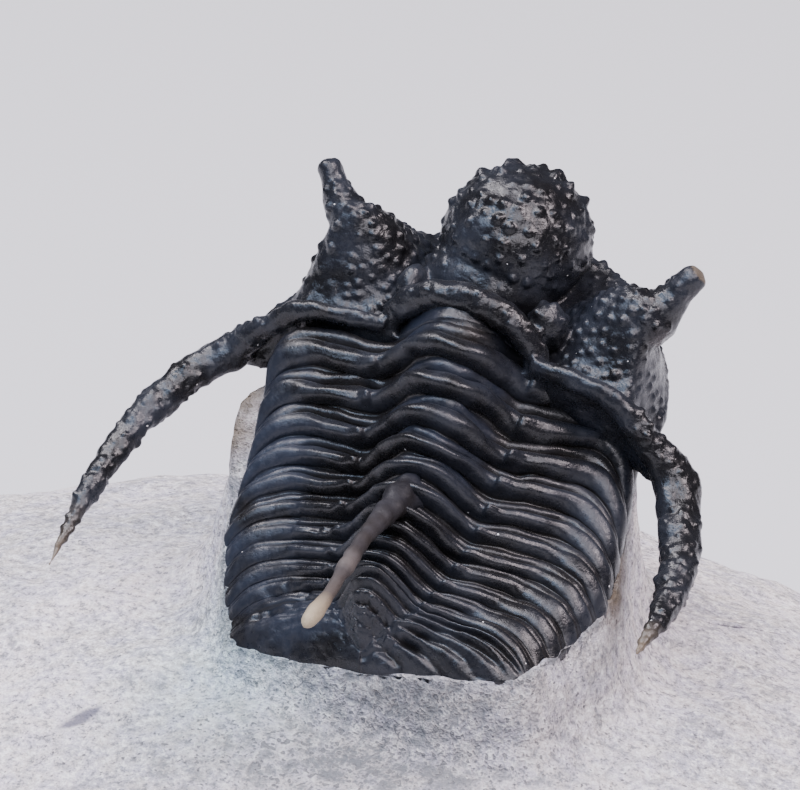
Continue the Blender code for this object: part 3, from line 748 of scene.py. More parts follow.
# Head shield. One vaulted plate of shell: the swollen glabella with its side lobes and neck ring,
# cheeks that rise into the eye stalks, and a raised border that runs out into the genal spines.
# Pimples of shell stand all over it except on the smooth fields.
HEAD_GAP = 0.94
HEAD_YAW = -5.3
HEAD_PITCH = 16.8
HEAD_ROLL = 4.5
HALF_WIDTH = {1: 6.9, -1: 8.3}
CORNER_FLARE = {1: 0.9, -1: 0.1}
CHEEK_RISE = {1: 1.0, -1: 1.2}
MARGIN_WIDTH = {1: 0.15, -1: 0.3}
HEAD_FRONT = 7.7
HEAD_BACK = -0.55
BORDER_Z = -2.35
UNDERSIDE_Z = -2.75
SHIELD_CENTRE = (0.0, 2.6)
SHIELD_SPOKES = 160
UNDERSIDE_SHARES = (0.985, 0.6, 0.2, 0.02)
GLABELLA_CENTRE = (0.0, 4.5, 1.2)
GLABELLA_RADII = (2.62, 2.74, 2.62)
NECK_CENTRE = (-0.3, 2.8, 0.5)
NECK_RADII = (2.3, 1.85, 1.65)
NECK_RING_X = 2.72
NECK_RING_Z = 1.98
NECK_RING_WIDTHS = (0.42, 0.52, 0.6, 0.52, 0.42)
NECK_RING_HEIGHTS = (0.42, 0.5, 0.54, 0.5, 0.42)
SIDE_LOBE_CENTRE = (2.5, 1.4, 0.6)
LOBE_RADII = {1: (0.7, 0.76, 0.95), -1: (0.52, 0.8, 0.95)}
EYE_BASE = {1: (5.75, 2.9, 1.35), -1: (-5.55, 2.8, 1.85)}
EYE_TIP = {1: (6.98, 4.1, 2.5), -1: (-6.98, 4.1, 2.95)}
EYE_STALK_WIDTH = 0.93
EYE_FOOT = {1: 2.1, -1: 1.5}
BORDER_LINE = ((2.7, -0.35, 0.35), (4.3, -0.55, 0.4), (5.8, -0.7, 0.15), (7.2, -0.95, -1.0),
               (8.3, -1.3, -2.1))
GENAL_LINE = {1: ((9.05, -2.7, -2.6), (9.75, -4.5, -2.7), (10.15, -6.6, -2.6), (10.2, -9.2, -2.3)),
              -1: ((9.4, -2.6, -2.6), (10.25, -5.0, -3.2), (10.5, -8.0, -3.8), (10.3, -11.3, -4.3))}
GENAL_WIDTHS = (0.3, 0.3, 0.33, 0.46, 0.72, 0.68, 0.6, 0.42, 0.07)
GENAL_HEIGHTS = (0.36, 0.36, 0.4, 0.5, 0.68, 0.64, 0.56, 0.4, 0.07)
GENAL_SHARE = {1: 1.1, -1: 0.92}
SKIN_GRAIN = 0.086
SKIN_SMOOTHING = 5
SKIN_CREASES = ((1.1, 0.06), (0.45, 0.045), (0.22, 0.022))
PIMPLE_SHADE = 8.0
TIP_SHARE = 0.965
LEFT_EYE_TIP_SHARE = 0.9

HEAD_TURN = turn(HEAD_YAW, HEAD_PITCH, HEAD_ROLL)
HEAD_PLACE = body_place(1.0) + HEAD_GAP * 0.5 * (HEAD_TURN.col[1] + body_turn(1.0).col[1])


def head_points(local):
    return np.asarray(local, dtype=float) @ np.array(HEAD_TURN).T + np.array(HEAD_PLACE)


def shield_outline(angle):
    """Plan outline of the head shield; angle 0 points to the right, 90 degrees to the front."""
    across = math.cos(angle)
    ahead = math.sin(angle)
    side = 1 if across > 0.0 else -1
    if ahead >= 0.0:
        return HALF_WIDTH[side] * across, HEAD_FRONT * ahead
    flared = HALF_WIDTH[side] + CORNER_FLARE[side] * float(ease(-ahead * 3.0))
    width = math.copysign(abs(across) ** 0.7, across) * flared
    back = HEAD_BACK - 0.5 * float(ease((abs(width) - 5.8) / 2.0))
    return width, back * min(1.0, -ahead * 4.0)


def shield_height(x, y, share):
    """Height of the head shield; share runs from 0 in its middle to 1 at its margin."""
    across = abs(x)
    side = 1 if x > 0 else -1
    mound = 2.35 * math.exp(-(((across - 5.6) / 1.65) ** 2) - (((y - 2.8) / 1.8) ** 2))
    inner = 0.95 * math.exp(-(((across - 3.8) / 1.2) ** 2) - (((y - 2.8) / 1.8) ** 2))
    field = -0.45 + (mound + inner) * CHEEK_RISE[side]
    behind = float(ease((0.9 - y) / 1.2) * ease((7.0 - across) / 1.6))
    margin = BORDER_Z + (0.1 - BORDER_Z) * behind
    return margin + (field - margin) * float(ease((1.0 - share) / MARGIN_WIDTH[side]))


def shield_rows():
    """Rings from the middle of the top, over the margin, to the middle of the flat underside."""
    edge = [shield_outline(2.0 * math.pi * (spoke + 0.5) / SHIELD_SPOKES) for spoke in range(SHIELD_SPOKES)]
    top_shares = (*np.linspace(0.02, 0.7, 26), *np.linspace(0.72, 1.0, 20))
    rows = []
    for share in top_shares + UNDERSIDE_SHARES:
        ring = []
        for end in edge:
            x = SHIELD_CENTRE[0] + (end[0] - SHIELD_CENTRE[0]) * share
            y = SHIELD_CENTRE[1] + (end[1] - SHIELD_CENTRE[1]) * share
            ring.append((x, y, shield_height(x, y, share) if len(rows) < len(top_shares) else UNDERSIDE_Z))
        rows.append(head_points(ring))
    return rows


def points_of(piece):
    """Places of all the vertices."""
    points = np.empty(len(piece.data.vertices) * 3)
    piece.data.vertices.foreach_get("co", points)
    return points.reshape(-1, 3)


def normals_of(piece):
    """Outward directions at all the vertices."""
    normals = np.empty(len(piece.data.vertices) * 3)
    piece.data.vertex_normals.foreach_get("vector", normals)
    return normals.reshape(-1, 3)


def swollen_ball(name, centre, radii, neck):
    """A ball of shell in the head's own frame, drawn in below by the given neck."""
    bpy.ops.mesh.primitive_uv_sphere_add(segments=96, ring_count=64, radius=1.0)
    ball = bpy.context.object
    ball.name = name
    points = points_of(ball)
    pull = 1.0 - neck * ease((-points[:, 2] - 0.15) / 0.85)
    local = points * np.array(radii) * np.column_stack((pull, pull, np.ones(len(pull)))) + np.array(centre)
    move_to(ball, head_points(local))
    bpy.ops.object.select_all(action="DESELECT")
    return ball


def spine_path(side):
    """The raised border of the head shield, from the neck ring out into the genal spine."""
    return through_points([head_points((side * x, y, z)) for x, y, z in BORDER_LINE + GENAL_LINE[side]], 16)


def eye_stalk_rows(side):
    base = np.array(EYE_BASE[side])
    tip = np.array(EYE_TIP[side])
    below = base - (tip - base) * 0.35 - np.array((0.0, 0.0, 0.5))
    shares = np.linspace(0.0, 1.0, 36)
    keys = (0.0, 0.3, 0.5, 0.7, 0.82, 0.9, 0.95, 0.98, 1.0)
    thickness = (EYE_FOOT[side], EYE_FOOT[side] + 0.2, 1.6, 1.2, 1.12, 1.16, 1.02, 0.72, 0.15)
    points = np.array([head_points(below + (tip - below) * share) for share in shares])
    widths = np.interp(shares, keys, EYE_STALK_WIDTH * 0.5 * np.array(thickness))
    return tube_rows(points, widths, widths * 0.86, HEAD_TURN.col[0], 40, 0.05, 7)


def neck_ring_rows():
    angles = np.radians(np.linspace(-92.0, 92.0, 60))
    local = np.column_stack((NECK_RING_X * np.sin(angles), 0.3 * np.cos(angles),
                             NECK_RING_Z * np.cos(angles) - 0.12))
    return tube_rows(head_points(local), NECK_RING_WIDTHS, NECK_RING_HEIGHTS, HEAD_TURN.col[1], 32, 0.16, 9)


head_parts = [closed_loft("shield", shield_rows())]
head_parts.append(swollen_ball("glabella", GLABELLA_CENTRE, GLABELLA_RADII, 0.16))
head_parts.append(swollen_ball("neck", NECK_CENTRE, NECK_RADII, 0.0))
head_parts.append(closed_loft("neck_ring", neck_ring_rows()))
paths = {side: spine_path(side) for side in (-1, 1)}
for side, path in paths.items():
    lobe = (side * SIDE_LOBE_CENTRE[0], SIDE_LOBE_CENTRE[1], SIDE_LOBE_CENTRE[2])
    head_parts.append(swollen_ball("side_lobe", lobe, LOBE_RADII[side], 0.0))
    head_parts.append(closed_loft("eye_stalk", eye_stalk_rows(side)))
    widths = np.array(GENAL_WIDTHS) * GENAL_SHARE[side]
    heights = np.array(GENAL_HEIGHTS) * GENAL_SHARE[side]
    head_parts.append(closed_loft("genal_spine", tube_rows(
        path, widths, heights, HEAD_TURN.col[2], 32, 0.14, 11 + side)))

for part in head_parts:
    part.select_set(True)
bpy.context.view_layer.objects.active = head_parts[0]
bpy.ops.object.join()
head = bpy.context.object
head.name = "head_shield"
head.data.name = "head_shield"


def one_skin(piece):
    """Melts overlapping closed parts into one even skin."""
    melt = piece.modifiers.new("melt", "REMESH")
    melt.mode = "VOXEL"
    melt.voxel_size = SKIN_GRAIN
    bpy.ops.object.modifier_apply(modifier="melt")
    soften = piece.modifiers.new("soften", "SMOOTH")
    soften.factor = 0.5
    soften.iterations = SKIN_SMOOTHING
    bpy.ops.object.modifier_apply(modifier="soften")


def crinkle(piece, sizes_and_depths):
    """Makes a skin slightly uneven along its own directions, in grains of the given sizes."""
    points = points_of(piece)
    lift = sum(depth * wobble(points, size, 70 + size) for size, depth in sizes_and_depths)
    move_to(piece, points + normals_of(piece) * lift[:, None])


one_skin(head)
crinkle(head, SKIN_CREASES)
bpy.ops.object.select_all(action="DESELECT")


def raise_pimples(piece, pimples):
    """Lifts the skin into small rounded pimples: place, direction, radius and height of each."""
    points = points_of(piece)
    tree = nearest_tree(points)
    height_at = np.zeros(len(points))
    for place, way, radius, height in pimples:
        for _, index, distance in tree.find_range(place, radius):
            bump = height * (1.0 - (distance / radius) ** 2) ** 1.1
            points[index] += np.array(way) * bump
            height_at[index] += bump
    move_to(piece, points)
    return height_at


def scattered(tree, candidates, spacing, rule):
    """Keeps the candidates that lie on the skin, are allowed there and aren't too close together."""
    kept = []
    for origin, way in candidates:
        hit, normal, _, _ = tree.ray_cast(origin, way)
        if hit is None:
            continue
        gap = spacing * rule(hit)
        if gap <= 0.0:
            continue
        if all((hit - other).length > gap for other, _ in kept):
            kept.append((hit, normal))
    return kept


random.seed(41)
skin = BVHTree.FromPolygons([vertex.co for vertex in head.data.vertices],
                            [face.vertices for face in head.data.polygons])
GLABELLA_RAYS = 1500
GLABELLA_SPACING = 0.48
CHEEK_RAYS = 5200
CHEEK_SPACING = 0.36
GENAL_SPACING = 0.27
head_back = HEAD_TURN.inverted()
pimples = []

glabella_middle = Vector(head_points(GLABELLA_CENTRE))
rays = []
for _ in range(GLABELLA_RAYS):
    height = random.uniform(-0.45, 1.0)
    reach = math.sqrt(1.0 - height * height)
    angle = random.uniform(0.0, 2.0 * math.pi)
    way = HEAD_TURN @ Vector((reach * math.cos(angle), reach * math.sin(angle), height))
    rays.append((glabella_middle + way * 5.0, -way))


def on_glabella(point):
    local = head_back @ (point - HEAD_PLACE) - Vector(GLABELLA_CENTRE)
    if local.length > 3.1 or local.y < -1.2 and local.z < -1.4:
        return 0.0
    return 1.0


# Tall tubercles that stand out from its outline: degrees from the top, how far they are turned
# towards the camera, radius and height
TALL_TUBERCLES = ((-29, 0.1, 0.3, 0.22), (-5, 0.05, 0.34, 0.24), (30, 0.08, 0.32, 0.26),
                  (57, 0.1, 0.28, 0.17), (-60, 0.15, 0.24, 0.12), (12, 0.35, 0.25, 0.13),
                  (44, 0.3, 0.22, 0.13), (-16, 0.45, 0.22, 0.12), (80, 0.2, 0.24, 0.12))
for degrees, nearer, radius, height in TALL_TUBERCLES:
    angle = math.radians(degrees)
    way = upright * math.cos(angle) + level * math.sin(angle) - nearer * forward
    way.normalize()
    hit, normal, _, _ = skin.ray_cast(glabella_middle + way * 5.0, -way)
    pimples.append((hit, way, radius, height))

for hit, normal in scattered(skin, rays, GLABELLA_SPACING, on_glabella):
    local = head_back @ (hit - HEAD_PLACE) - Vector(GLABELLA_CENTRE)
    top = max(0.0, local.z / 2.7) ** 2
    size = random.random() ** 1.5
    pimples.append((hit, normal, 0.14 + 0.08 * size + 0.04 * top, 0.06 + 0.07 * size + 0.06 * top * size))

rays = []
for _ in range(CHEEK_RAYS):
    local = (random.uniform(-8.6, 8.6), random.uniform(-1.6, 7.4), 6.0)
    rays.append((Vector(head_points(local)), -HEAD_TURN.col[2]))


def on_cheeks(point):
    local = head_back @ (point - HEAD_PLACE)
    across = abs(local.x)
    from_glabella = (Vector((local.x, local.y, local.z)) - Vector(GLABELLA_CENTRE)).length
    if (local - Vector((SIDE_LOBE_CENTRE[0], SIDE_LOBE_CENTRE[1], 0.9))).length < 0.9:
        return 1.1
    if from_glabella < 3.0 or across < 3.2 and local.y < 2.4:
        return 0.0
    if local.y < 0.4 and across < 6.8:
        return 0.0
    stalk = math.hypot(across - EYE_TIP[1][0], local.y - EYE_TIP[1][1])
    if stalk < 0.75 and local.z > 1.3:
        return 0.0
    smooth_field = local.x < 0 and 5.0 < across < 7.0 and local.y < 2.4
    return 1.8 if smooth_field else 1.0


for hit, normal in scattered(skin, rays, CHEEK_SPACING, on_cheeks):
    size = random.random() ** 1.3
    pimples.append((hit, normal, 0.13 + 0.09 * size, 0.055 + 0.08 * size))

for path in paths.values():
    for index in range(78, len(path) - 4):
        ahead = Vector(path[index + 1] - path[index - 1]).normalized()
        centre = Vector(path[index])
        for _ in range(3):
            angle = random.uniform(0.0, 2.0 * math.pi)
            out = ahead.cross(HEAD_TURN.col[2]).normalized() * math.cos(angle)
            out += HEAD_TURN.col[2] * math.sin(angle)
            hit, normal, _, _ = skin.ray_cast(centre + out * 1.5, -out)
            if hit is None or (hit - centre).length > 0.95:
                continue
            if all((hit - other[0]).length > GENAL_SPACING for other in pimples[-60:]):
                pimples.append((hit, normal, random.uniform(0.12, 0.2), random.uniform(0.04, 0.09)))

for degrees in (-66, -44, -25, -8, 10, 30, 50, 70):
    angle = math.radians(degrees + random.uniform(-4.0, 4.0))
    local = (NECK_RING_X * math.sin(angle), 0.3 + random.uniform(-0.15, 0.1), NECK_RING_Z * math.cos(angle))
    way = HEAD_TURN @ Vector((math.sin(angle), -0.35, math.cos(angle))).normalized()
    hit, normal, _, _ = skin.ray_cast(Vector(head_points(local)) + way * 1.2, -way)
    if hit is not None:
        pimples.append((hit, normal, random.uniform(0.15, 0.22), random.uniform(0.06, 0.12)))

store(head, "relief", np.clip(raise_pimples(head, pimples) * PIMPLE_SHADE, 0.0, 1.0))

# The genal spines and the eye stalks pale towards their tips.
tip_points = []
tip_values = []
for side, path in paths.items():
    shares = np.linspace(0.0, 1.06, 12)
    base = np.array(EYE_BASE[side])
    tip_points += [path, head_points(base + (np.array(EYE_TIP[side]) - base) * shares[:, None])]
    eye_share = TIP_SHARE if side > 0 else LEFT_EYE_TIP_SHARE
    tip_values += [TIP_SHARE * np.linspace(0.0, 1.0, len(path)), eye_share * shares]
store_nearest(head, np.concatenate(tip_points), tip=np.concatenate(tip_values))
head.data.materials.append(shell_material("head_shell", (
    (0.0, NOTHING_ADDED), (0.9, (0.001, 0.001, 0.001, 1.0)), (0.96, (0.045, 0.033, 0.017, 1.0)),
    (1.0, (0.14, 0.105, 0.065, 1.0)),
), wrinkles=2.2, gloss=0.14, shine=0.4))
finished(head)
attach(head, "root")

# Rock. A loose block of pale grey limestone: a low mound cut back around the animal, with the
# pedestal it was left standing on; its sides are broken and its underside is flat.
BLOCK_LENGTH = 51.0
BLOCK_DEPTH = 43.0
CROWN_HEIGHT = 14.8
CROWN_X = -3.5
CROWN_FALL_X = 0.0075
CROWN_FALL_Y = 0.0115
PEDESTAL_FLARE = 2.3
PEDESTAL_LEDGE = 0.85
BLOCK_CORNERS = (8.0, 52.0, 101.0, 140.0, 187.0, 231.0, 284.0, 322.0)
CORNER_REACH = (1.0, 1.03, 0.95, 1.04, 0.99, 1.03, 0.96, 1.05)
ROCK_SPOKES = 420
WALL_ROWS = 44
WALL_SHARES = (0.0, 0.3, 0.55, 0.75, 0.9, 1.0)
WALL_DROPS = (0.0, 0.36, 0.68, 0.87, 0.965, 1.0)
WALL_FLARES = (0.0, 0.1, 0.24, 0.46, 0.75, 1.0)
CRUST_DEPTH = 0.14
CRUST_HEIGHT = 0.2
MOUND_ROWS = 110
MOUND_REACH = 0.9
SIDE_ROWS = 36
SIDE_SHARES = (0.0, 0.08, 0.18, 0.3, 0.6, 0.8, 1.0)
SIDE_LEVELS = (0.985, 0.95, 0.86, 0.74, 0.42, 0.2, 0.0)
SIDE_REACHES = (0.05, 0.42, 0.72, 0.9, 1.0, 0.85, 0.6)


def mound_height(x, y):
    dome = CROWN_HEIGHT - CROWN_FALL_X * (x - CROWN_X) ** 2 - CROWN_FALL_Y * (y - 1.0) ** 2
    ripple = 0.15 * math.sin(0.42 * x + 0.9) * math.cos(0.37 * y - 0.4)
    return dome + ripple + 0.08 * math.sin(0.9 * x - 0.7 * y)


def block_outline(angle):
    """Broken outline of the block: straight breaks between a few corners, slightly bowed."""
    turned = math.degrees(angle) % 360.0
    corners = [BLOCK_CORNERS[-1] - 360.0] + list(BLOCK_CORNERS) + [BLOCK_CORNERS[0] + 360.0]
    reaches = [CORNER_REACH[-1]] + list(CORNER_REACH) + [CORNER_REACH[0]]
    ends = []
    for corner, reach in zip(corners, reaches):
        bend = math.radians(corner)
        round_off = (abs(math.cos(bend)) ** 3.2 + abs(math.sin(bend)) ** 3.2) ** (-1.0 / 3.2)
        ends.append(Vector((math.cos(bend), math.sin(bend))) * reach * round_off)
    index = max(i for i in range(len(corners) - 1) if corners[i] <= turned)
    ray = Vector((math.cos(angle), math.sin(angle)))
    first = ends[index]
    break_line = ends[index + 1] - first
    facing = ray.x * break_line.y - ray.y * break_line.x
    reach = (first.x * break_line.y - first.y * break_line.x) / facing
    share = (turned - corners[index]) / (corners[index + 1] - corners[index])
    reach *= 1.0 + 0.02 * math.sin(math.pi * share) + 0.012 * math.sin(5.0 * math.pi * share + index)
    return np.array((ray.x * reach * BLOCK_LENGTH * 0.5, ray.y * reach * BLOCK_DEPTH * 0.5, 0.0))


def pedestal_edges():
    """Left and right edge of the pedestal's top, from the tail to the front of the head."""
    pairs = []
    for row in tail_rows[-2::-5]:
        pairs.append((row[0], row[-1], 0.0, 0.03))
    for segment in range(SEGMENTS, 0, -1):
        row = back_rows[TUCKED_ROWS + (segment - 1) * SEGMENT_ROWS + SEGMENT_ROWS // 2]
        sink = 0.03 - 0.16 * float(ease((8.0 - segment) / 4.0))
        pairs.append((row[0], row[-1], PEDESTAL_LEDGE * float(ease((5.6 - segment) / 4.2)), sink))
    lines = []
    for left, right, ledge, lift in pairs:
        across = np.array((right[0] - left[0], right[1] - left[1], 0.0))
        across /= np.linalg.norm(across)
        lowered = np.array((0.0, 0.0, lift - 0.9 * ledge))
        lines.append((left - across * (0.05 + ledge) + lowered, right + across * 0.05 + (0.0, 0.0, lift)))
    under_head = UNDERSIDE_Z + 0.1
    for ahead, half in ((0.8, 5.3), (2.2, 4.8), (3.6, 4.2), (5.0, 3.4), (6.2, 2.3)):
        lines.append((head_points((-half - 0.9, ahead, under_head)), head_points((half, ahead, under_head))))
    return lines


def evened(points, passes):
    """A closed loop with its corners taken off."""
    for _ in range(passes):
        points = 0.5 * points + 0.25 * (np.roll(points, 1, axis=0) + np.roll(points, -1, axis=0))
    return points


def loop_read(points, lengths, stops):
    """A closed loop of points, read again at the given lengths along it."""
    loop = np.vstack((points, points[:1]))
    return np.column_stack([np.interp(stops, lengths, loop[:, axis]) for axis in range(3)])


edges = pedestal_edges()
outline = np.array([left for left, _ in edges] + [right for _, right in reversed(edges)])
middles = [(left + right) * 0.5 for left, right in edges]
steps = np.diff(np.vstack((outline, outline[:1])), axis=0)
lengths = np.concatenate(([0.0], np.cumsum(np.linalg.norm(steps, axis=1))))
stops = np.linspace(0.0, lengths[-1], ROCK_SPOKES, endpoint=False)
rim = evened(loop_read(outline, lengths, stops), 6)
inner = loop_read(np.array(middles + middles[::-1]), lengths, stops)
tangent = evened(np.roll(rim, -3, axis=0) - np.roll(rim, 3, axis=0), 30)
away = np.column_stack((-tangent[:, 1], tangent[:, 0], np.zeros(ROCK_SPOKES)))
away /= np.linalg.norm(away, axis=1)[:, None]
if np.mean(np.sum(away * (rim - inner), axis=1)) < 0.0:
    away = -away

# Crumbs of rock still stuck to the shell's margin.
crust = np.clip(wobble(rim, 0.7, 4) + 0.6 * wobble(rim, 0.3, 7), 0.0, 1.0)
rim = rim - away * (CRUST_DEPTH * crust)[:, None]
rim[:, 2] += CRUST_HEIGHT * crust

rock_rows = [inner * (1.0 - share) + rim * share for share in (0.02, 0.35, 0.7, 0.9)]
rock_rows.append(rim)
ground_line = rim + away * PEDESTAL_FLARE
ground = np.array([mound_height(x, y) for x, y in ground_line[:, :2]])
ground = np.minimum(ground, rim[:, 2] - 0.3)
for step in range(1, WALL_ROWS + 1):
    share = step / WALL_ROWS
    foot = rim + away * (PEDESTAL_FLARE * along(share, WALL_SHARES, WALL_FLARES))
    foot[:, 2] = rim[:, 2] + (ground - rim[:, 2]) * along(share, WALL_SHARES, WALL_DROPS)
    rock_rows.append(foot)
block_edge = np.array([block_outline(math.atan2(y - 1.0, x)) for x, y in evened(foot, 60)[:, :2]])
block_edge = evened(block_edge, 3)
for step in range(1, MOUND_ROWS + 1):
    share = MOUND_REACH * (step / MOUND_ROWS) ** 1.2
    ring = foot + (block_edge - foot) * share
    ring[:, 2] = [mound_height(x, y) for x, y in ring[:, :2]]
    ring[:, 2] -= 0.6 * ease((share - 0.7) / 0.2)
    rock_rows.append(ring)
top_edge = rock_rows[-1].copy()
edge_height = top_edge[:, 2].copy()
top_edge[:, 2] = 0.0
for step in range(1, SIDE_ROWS + 1):
    share = step / SIDE_ROWS
    ring = top_edge + (block_edge - top_edge) * along(share, SIDE_SHARES, SIDE_REACHES)
    ring[:, 2] = edge_height * along(share, SIDE_SHARES, SIDE_LEVELS)
    rock_rows.append(ring)
rock_rows.append(block_edge * 0.05)
rock = closed_loft("rock", rock_rows)


CHIP_PLACE = (-8.9, -6.4)


def roughen(piece):
    """Weathers the rock: broad hollows, fine pitting, and larger chips on the broken sides."""
    points = points_of(piece)
    normals = normals_of(piece)
    for point, normal in zip(points, normals):
        place = Vector(point)
        if place.z < 0.02:
            continue
        side = float(ease((math.hypot(point[0] / 25.5, point[1] / 21.0) - 0.9) / 0.12))
        lift = 0.12 * noise.noise(place / 1.9) + 0.065 * noise.noise(place / 0.7)
        lift += 0.03 * noise.noise(place / 0.28)
        chip = noise.noise(place / 4.5 + Vector((3.0, 7.0, 1.0)))
        near, next_near = noise.voronoi(place / 5.0)[0][:2]
        lift += side * (0.25 * chip + 0.9 * (near - 0.45) + 0.25 * abs(noise.noise(place / 1.6)))
        lift -= 0.05 * side * float(ease((0.06 - next_near + near) / 0.06))
        lift += 0.16 * (1.0 - side) * noise.noise(Vector((point[0] / 5.5, point[1] / 2.6, 3.0)))
        chip_x = (point[0] - CHIP_PLACE[0]) / 1.1
        chip_y = (point[1] - CHIP_PLACE[1] - 0.1 * point[0]) / 0.35
        lift -= 0.14 * math.exp(-math.hypot(chip_x, chip_y) ** 2)
        point += normal * (lift * float(ease(point[2] / 0.8)))
    move_to(piece, points)


roughen(rock)


def faded_spot(turned, middle, long_spread, wide_spread):
    """For every vertex of the rock, how near it is to a long spot that is turned by an angle."""
    back = Matrix.Rotation(turned, 3, "Z")
    values = []
    for vertex in rock.data.vertices:
        local = back @ (vertex.co - middle)
        values.append(math.exp(-((local.x / long_spread) ** 2) - (local.y / wide_spread) ** 2))
    return values


# Painted shade on the ground below the tail and a painted contact shadow as a dark line round the shell's
# margin, iron stains beside both flanks, one long grey flake, and a painted cool shadow, a greenish cast,
# left of the tail.
FOOT_SHADE_MIDDLE = Vector((0.9, -6.4, 0.0))
FLAKE_MIDDLE = Vector((CHIP_PLACE[0], -7.3, 13.8))
COOL_SHADOW_MIDDLE = Vector((-4.6, -4.2, 0.0))
margin = nearest_tree(rim)
# Painted shade on the ground below the tail, and a painted contact shadow along the shell's margin.
spread = faded_spot(-VIEW_SIDE, FOOT_SHADE_MIDDLE, 7.0, 3.4)
for index, vertex in enumerate(rock.data.vertices):
    spread[index] = max(spread[index], 0.9 * math.exp(-(margin.find(vertex.co)[2] / 0.45) ** 2))
store(rock, "foot", spread)
stains = []
for row_index, end, shift, size in ((23, 0, (-0.9, 0.2, -0.6), 1.5), (51, 0, (-0.8, 0.0, -0.7), 1.1),
                                    (107, -1, (0.0, 0.0, 0.0), 1.1), (135, -1, (0.1, 0.0, -0.3), 1.0)):
    stains.append((Vector(back_rows[row_index][end]) + Vector(shift), size))
store(rock, "stain", [max(math.exp(-((vertex.co - middle).length / size) ** 2) for middle, size in stains)
                      for vertex in rock.data.vertices])
store(rock, "grey", faded_spot(math.radians(-50.0), FLAKE_MIDDLE, 0.8, 0.22))
# Painted cool shadow left of the tail: a bluish-green darkening of the ground.
store(rock, "painted_cool_shadow", faded_spot(0.0, COOL_SHADOW_MIDDLE, 3.5, 4.2))

LIMESTONE_PALE = (0.78, 0.735, 0.765, 1.0)
LIMESTONE_GREY = (0.45, 0.46, 0.475, 1.0)
LIMESTONE_WARM = (0.68, 0.58, 0.52, 1.0)
LIMESTONE_LILAC = (0.46, 0.41, 0.54, 1.0)
IRON_BROWN = (0.12, 0.085, 0.045, 1.0)
COOL_SHADOW_TINT = (0.60, 0.81, 0.83, 1.0)
DARK_GRAIN = (0.10, 0.10, 0.105, 1.0)
CALCITE_WHITE = (0.90, 0.88, 0.87, 1.0)
PIT_GREY = (0.20, 0.20, 0.215, 1.0)
CRUMB_GREY = (0.24, 0.24, 0.255, 1.0)
FOOT_PAINTED_SHADE = (0.12, 0.128, 0.138, 1.0)
FLAKE_GREY = (0.12, 0.115, 0.155, 1.0)
PIT_DEPTH = 0.00022


def limestone_material():
    """Fine-grained pale limestone with dark mineral grains and small pits."""
    made, tree, shader, place = start_material("limestone")
    broad = grain_node(tree, place, 210.0, 900.0, 0.5)["Shade"]
    mottle = grain_node(tree, place, 1100.0, 700.0, 0.6)["Shade"]
    grain = grain_node(tree, place, 3600.0, 11000.0, 0.7)["Height"]
    crumbs = grain_node(tree, place, 1500.0, 5200.0, 0.8)
    crumb_height = crumbs["Height"]
    foot, grey, painted_cool_shadow, stain = (attribute_value(tree, name) for name in ("foot", "grey", "painted_cool_shadow", "stain"))
    # Below the tail the dark grains are denser: partly real grain, partly painted shade.
    edge = math_node(tree, "SUBTRACT", 0.71, times(tree, foot, 0.14))
    edge = math_node(tree, "SUBTRACT", edge, times(tree, crumbs["Shade"], 0.05))
    speck_noise = noise_node(tree, place, 5200.0, 1.5, 0.5)
    specks = spread_node(tree, speck_noise, edge, plus(tree, edge, 0.09), 0.0, 0.8)
    colour = blend_colours(tree, broad, LIMESTONE_PALE, LIMESTONE_GREY)
    tint = blend_colours(tree, mottle, LIMESTONE_WARM, LIMESTONE_LILAC)
    layers = (
        (0.45, tint, "MIX"),
        (spread_node(tree, grain, 0.84, 1.05, 0.0, 0.9), CALCITE_WHITE, "MIX"),
        (spread_node(tree, grain, 0.82, 0.64, 0.0, 0.85), PIT_GREY, "MIX"),
        (spread_node(tree, crumb_height, 0.9, 0.62, 0.0, 0.65), CRUMB_GREY, "MIX"),
        (specks, DARK_GRAIN, "MIX"),
        # Painted shade below the tail and painted contact shadow along the shell's margin.
        (times(tree, foot, spread_node(tree, crumb_height, 1.0, 0.75, 0.55, 0.95)), FOOT_PAINTED_SHADE, "MIX"),
        (spread_node(tree, times(tree, grey, grain), 0.15, 0.45, 0.0, 0.9), FLAKE_GREY, "MIX"),
        # Painted cool shadow: a bluish-green darkening left of the tail.
        (times(tree, painted_cool_shadow, 0.8), COOL_SHADOW_TINT, "MULTIPLY"),
        (times(tree, stain, 0.85), IRON_BROWN, "MIX"),
    )
    for share, shade, way in layers:
        colour = blend_colours(tree, share, colour, shade, way)
    join(tree, colour, shader.inputs["Base Color"])
    join(tree, spread_node(tree, grain, 0.4, 1.1, 0.82, 0.97), shader.inputs["Roughness"])
    height = plus(tree, crumb_height, times(tree, grain, 0.5))
    bump_onto(tree, shader, math_node(tree, "SUBTRACT", height, times(tree, specks, 0.4)), PIT_DEPTH, 0.9)
    return made


rock.data.materials.append(limestone_material())
finished(rock)
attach(rock, "root")
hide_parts("matrix")

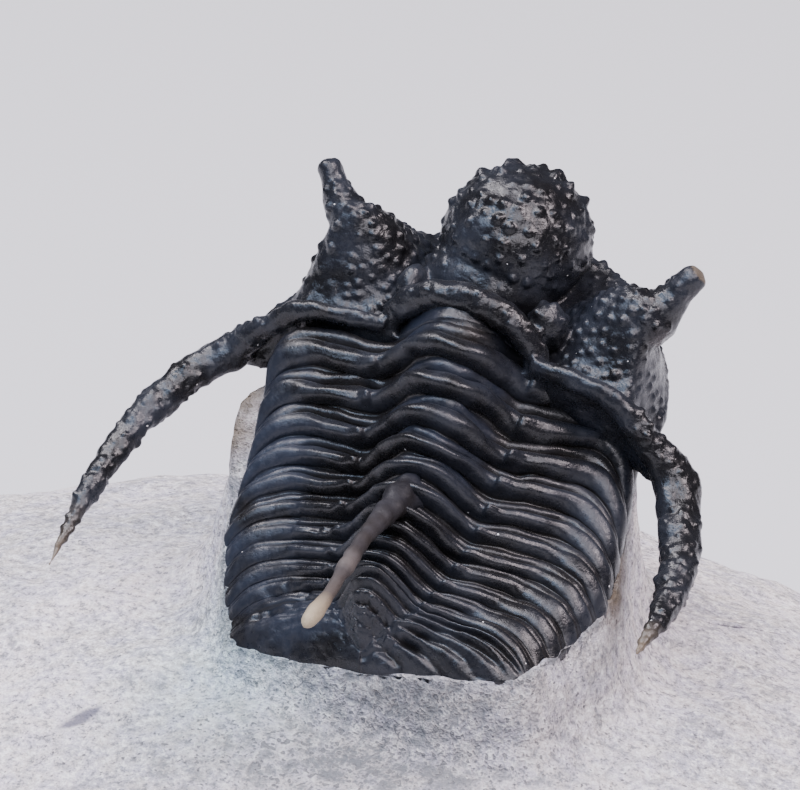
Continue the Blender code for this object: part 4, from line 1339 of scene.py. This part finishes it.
# Floor and light. A plain pale floor under the block, a cool soft light from the left, a warmer
# one from the right, one overhead, a small one behind on the left and a tall one high in front.
FLOOR_SIZE = 3.0
FLOOR_GREY = (0.62, 0.62, 0.63, 1.0)
FLOOR_DARKER = (0.60, 0.60, 0.61, 1.0)
bpy.ops.mesh.primitive_plane_add(size=FLOOR_SIZE, location=(0.0, 0.0, 0.0))
floor = bpy.context.object
floor.name = "floor"
floor_paint, floor_tree, floor_shader, floor_place = start_material("floor_paint")
floor_shade = grain_node(floor_tree, floor_place, 3.0, 90.0, 0.2)["Shade"]
floor_colour = blend_colours(floor_tree, floor_shade, FLOOR_GREY, FLOOR_DARKER)
join(floor_tree, floor_colour, floor_shader.inputs["Base Color"])
floor_shader.inputs["Roughness"].default_value = 0.9
floor.data.materials.append(floor_paint)


def soft_light(name, side_angle, height_angle, distance, size, energy, colour):
    """A soft light, wide and high as given, at angles round from the camera and up from the floor."""
    around = VIEW_SIDE + math.radians(side_angle)
    up = math.radians(height_angle)
    way = Vector((math.sin(around) * math.cos(up), -math.cos(around) * math.cos(up), math.sin(up)))
    bpy.ops.object.light_add(type="AREA", location=RING_SIX * MM + way * distance)
    light = bpy.context.object
    light.name = name
    light.rotation_euler = way.to_track_quat("Z", "Y").to_euler()
    light.data.shape = "RECTANGLE"
    light.data.size, light.data.size_y = size
    light.data.energy = energy
    light.data.color = colour


soft_light("left_light", -60.0, 59.0, 0.34, (0.20, 0.20), 0.9, (0.55, 0.72, 1.0))
soft_light("right_light", 74.0, 54.0, 0.34, (0.15, 0.15), 1.3, (1.0, 0.87, 0.92))
soft_light("top_light", -100.0, 77.0, 0.38, (0.20, 0.14), 1.0, (1.0, 0.93, 0.97))
soft_light("back_light", -127.0, 53.0, 0.36, (0.12, 0.12), 0.85, (1.0, 0.95, 1.0))
soft_light("front_light", 8.0, 56.0, 0.36, (0.18, 0.30), 1.2, (0.97, 0.92, 1.0))

world = bpy.data.worlds.new("studio")
bpy.context.scene.world = world
world.use_nodes = True
sky = world.node_tree.nodes["Background"].inputs
sky["Color"].default_value = (0.82, 0.83, 0.93, 1.0)
sky["Strength"].default_value = 0.12
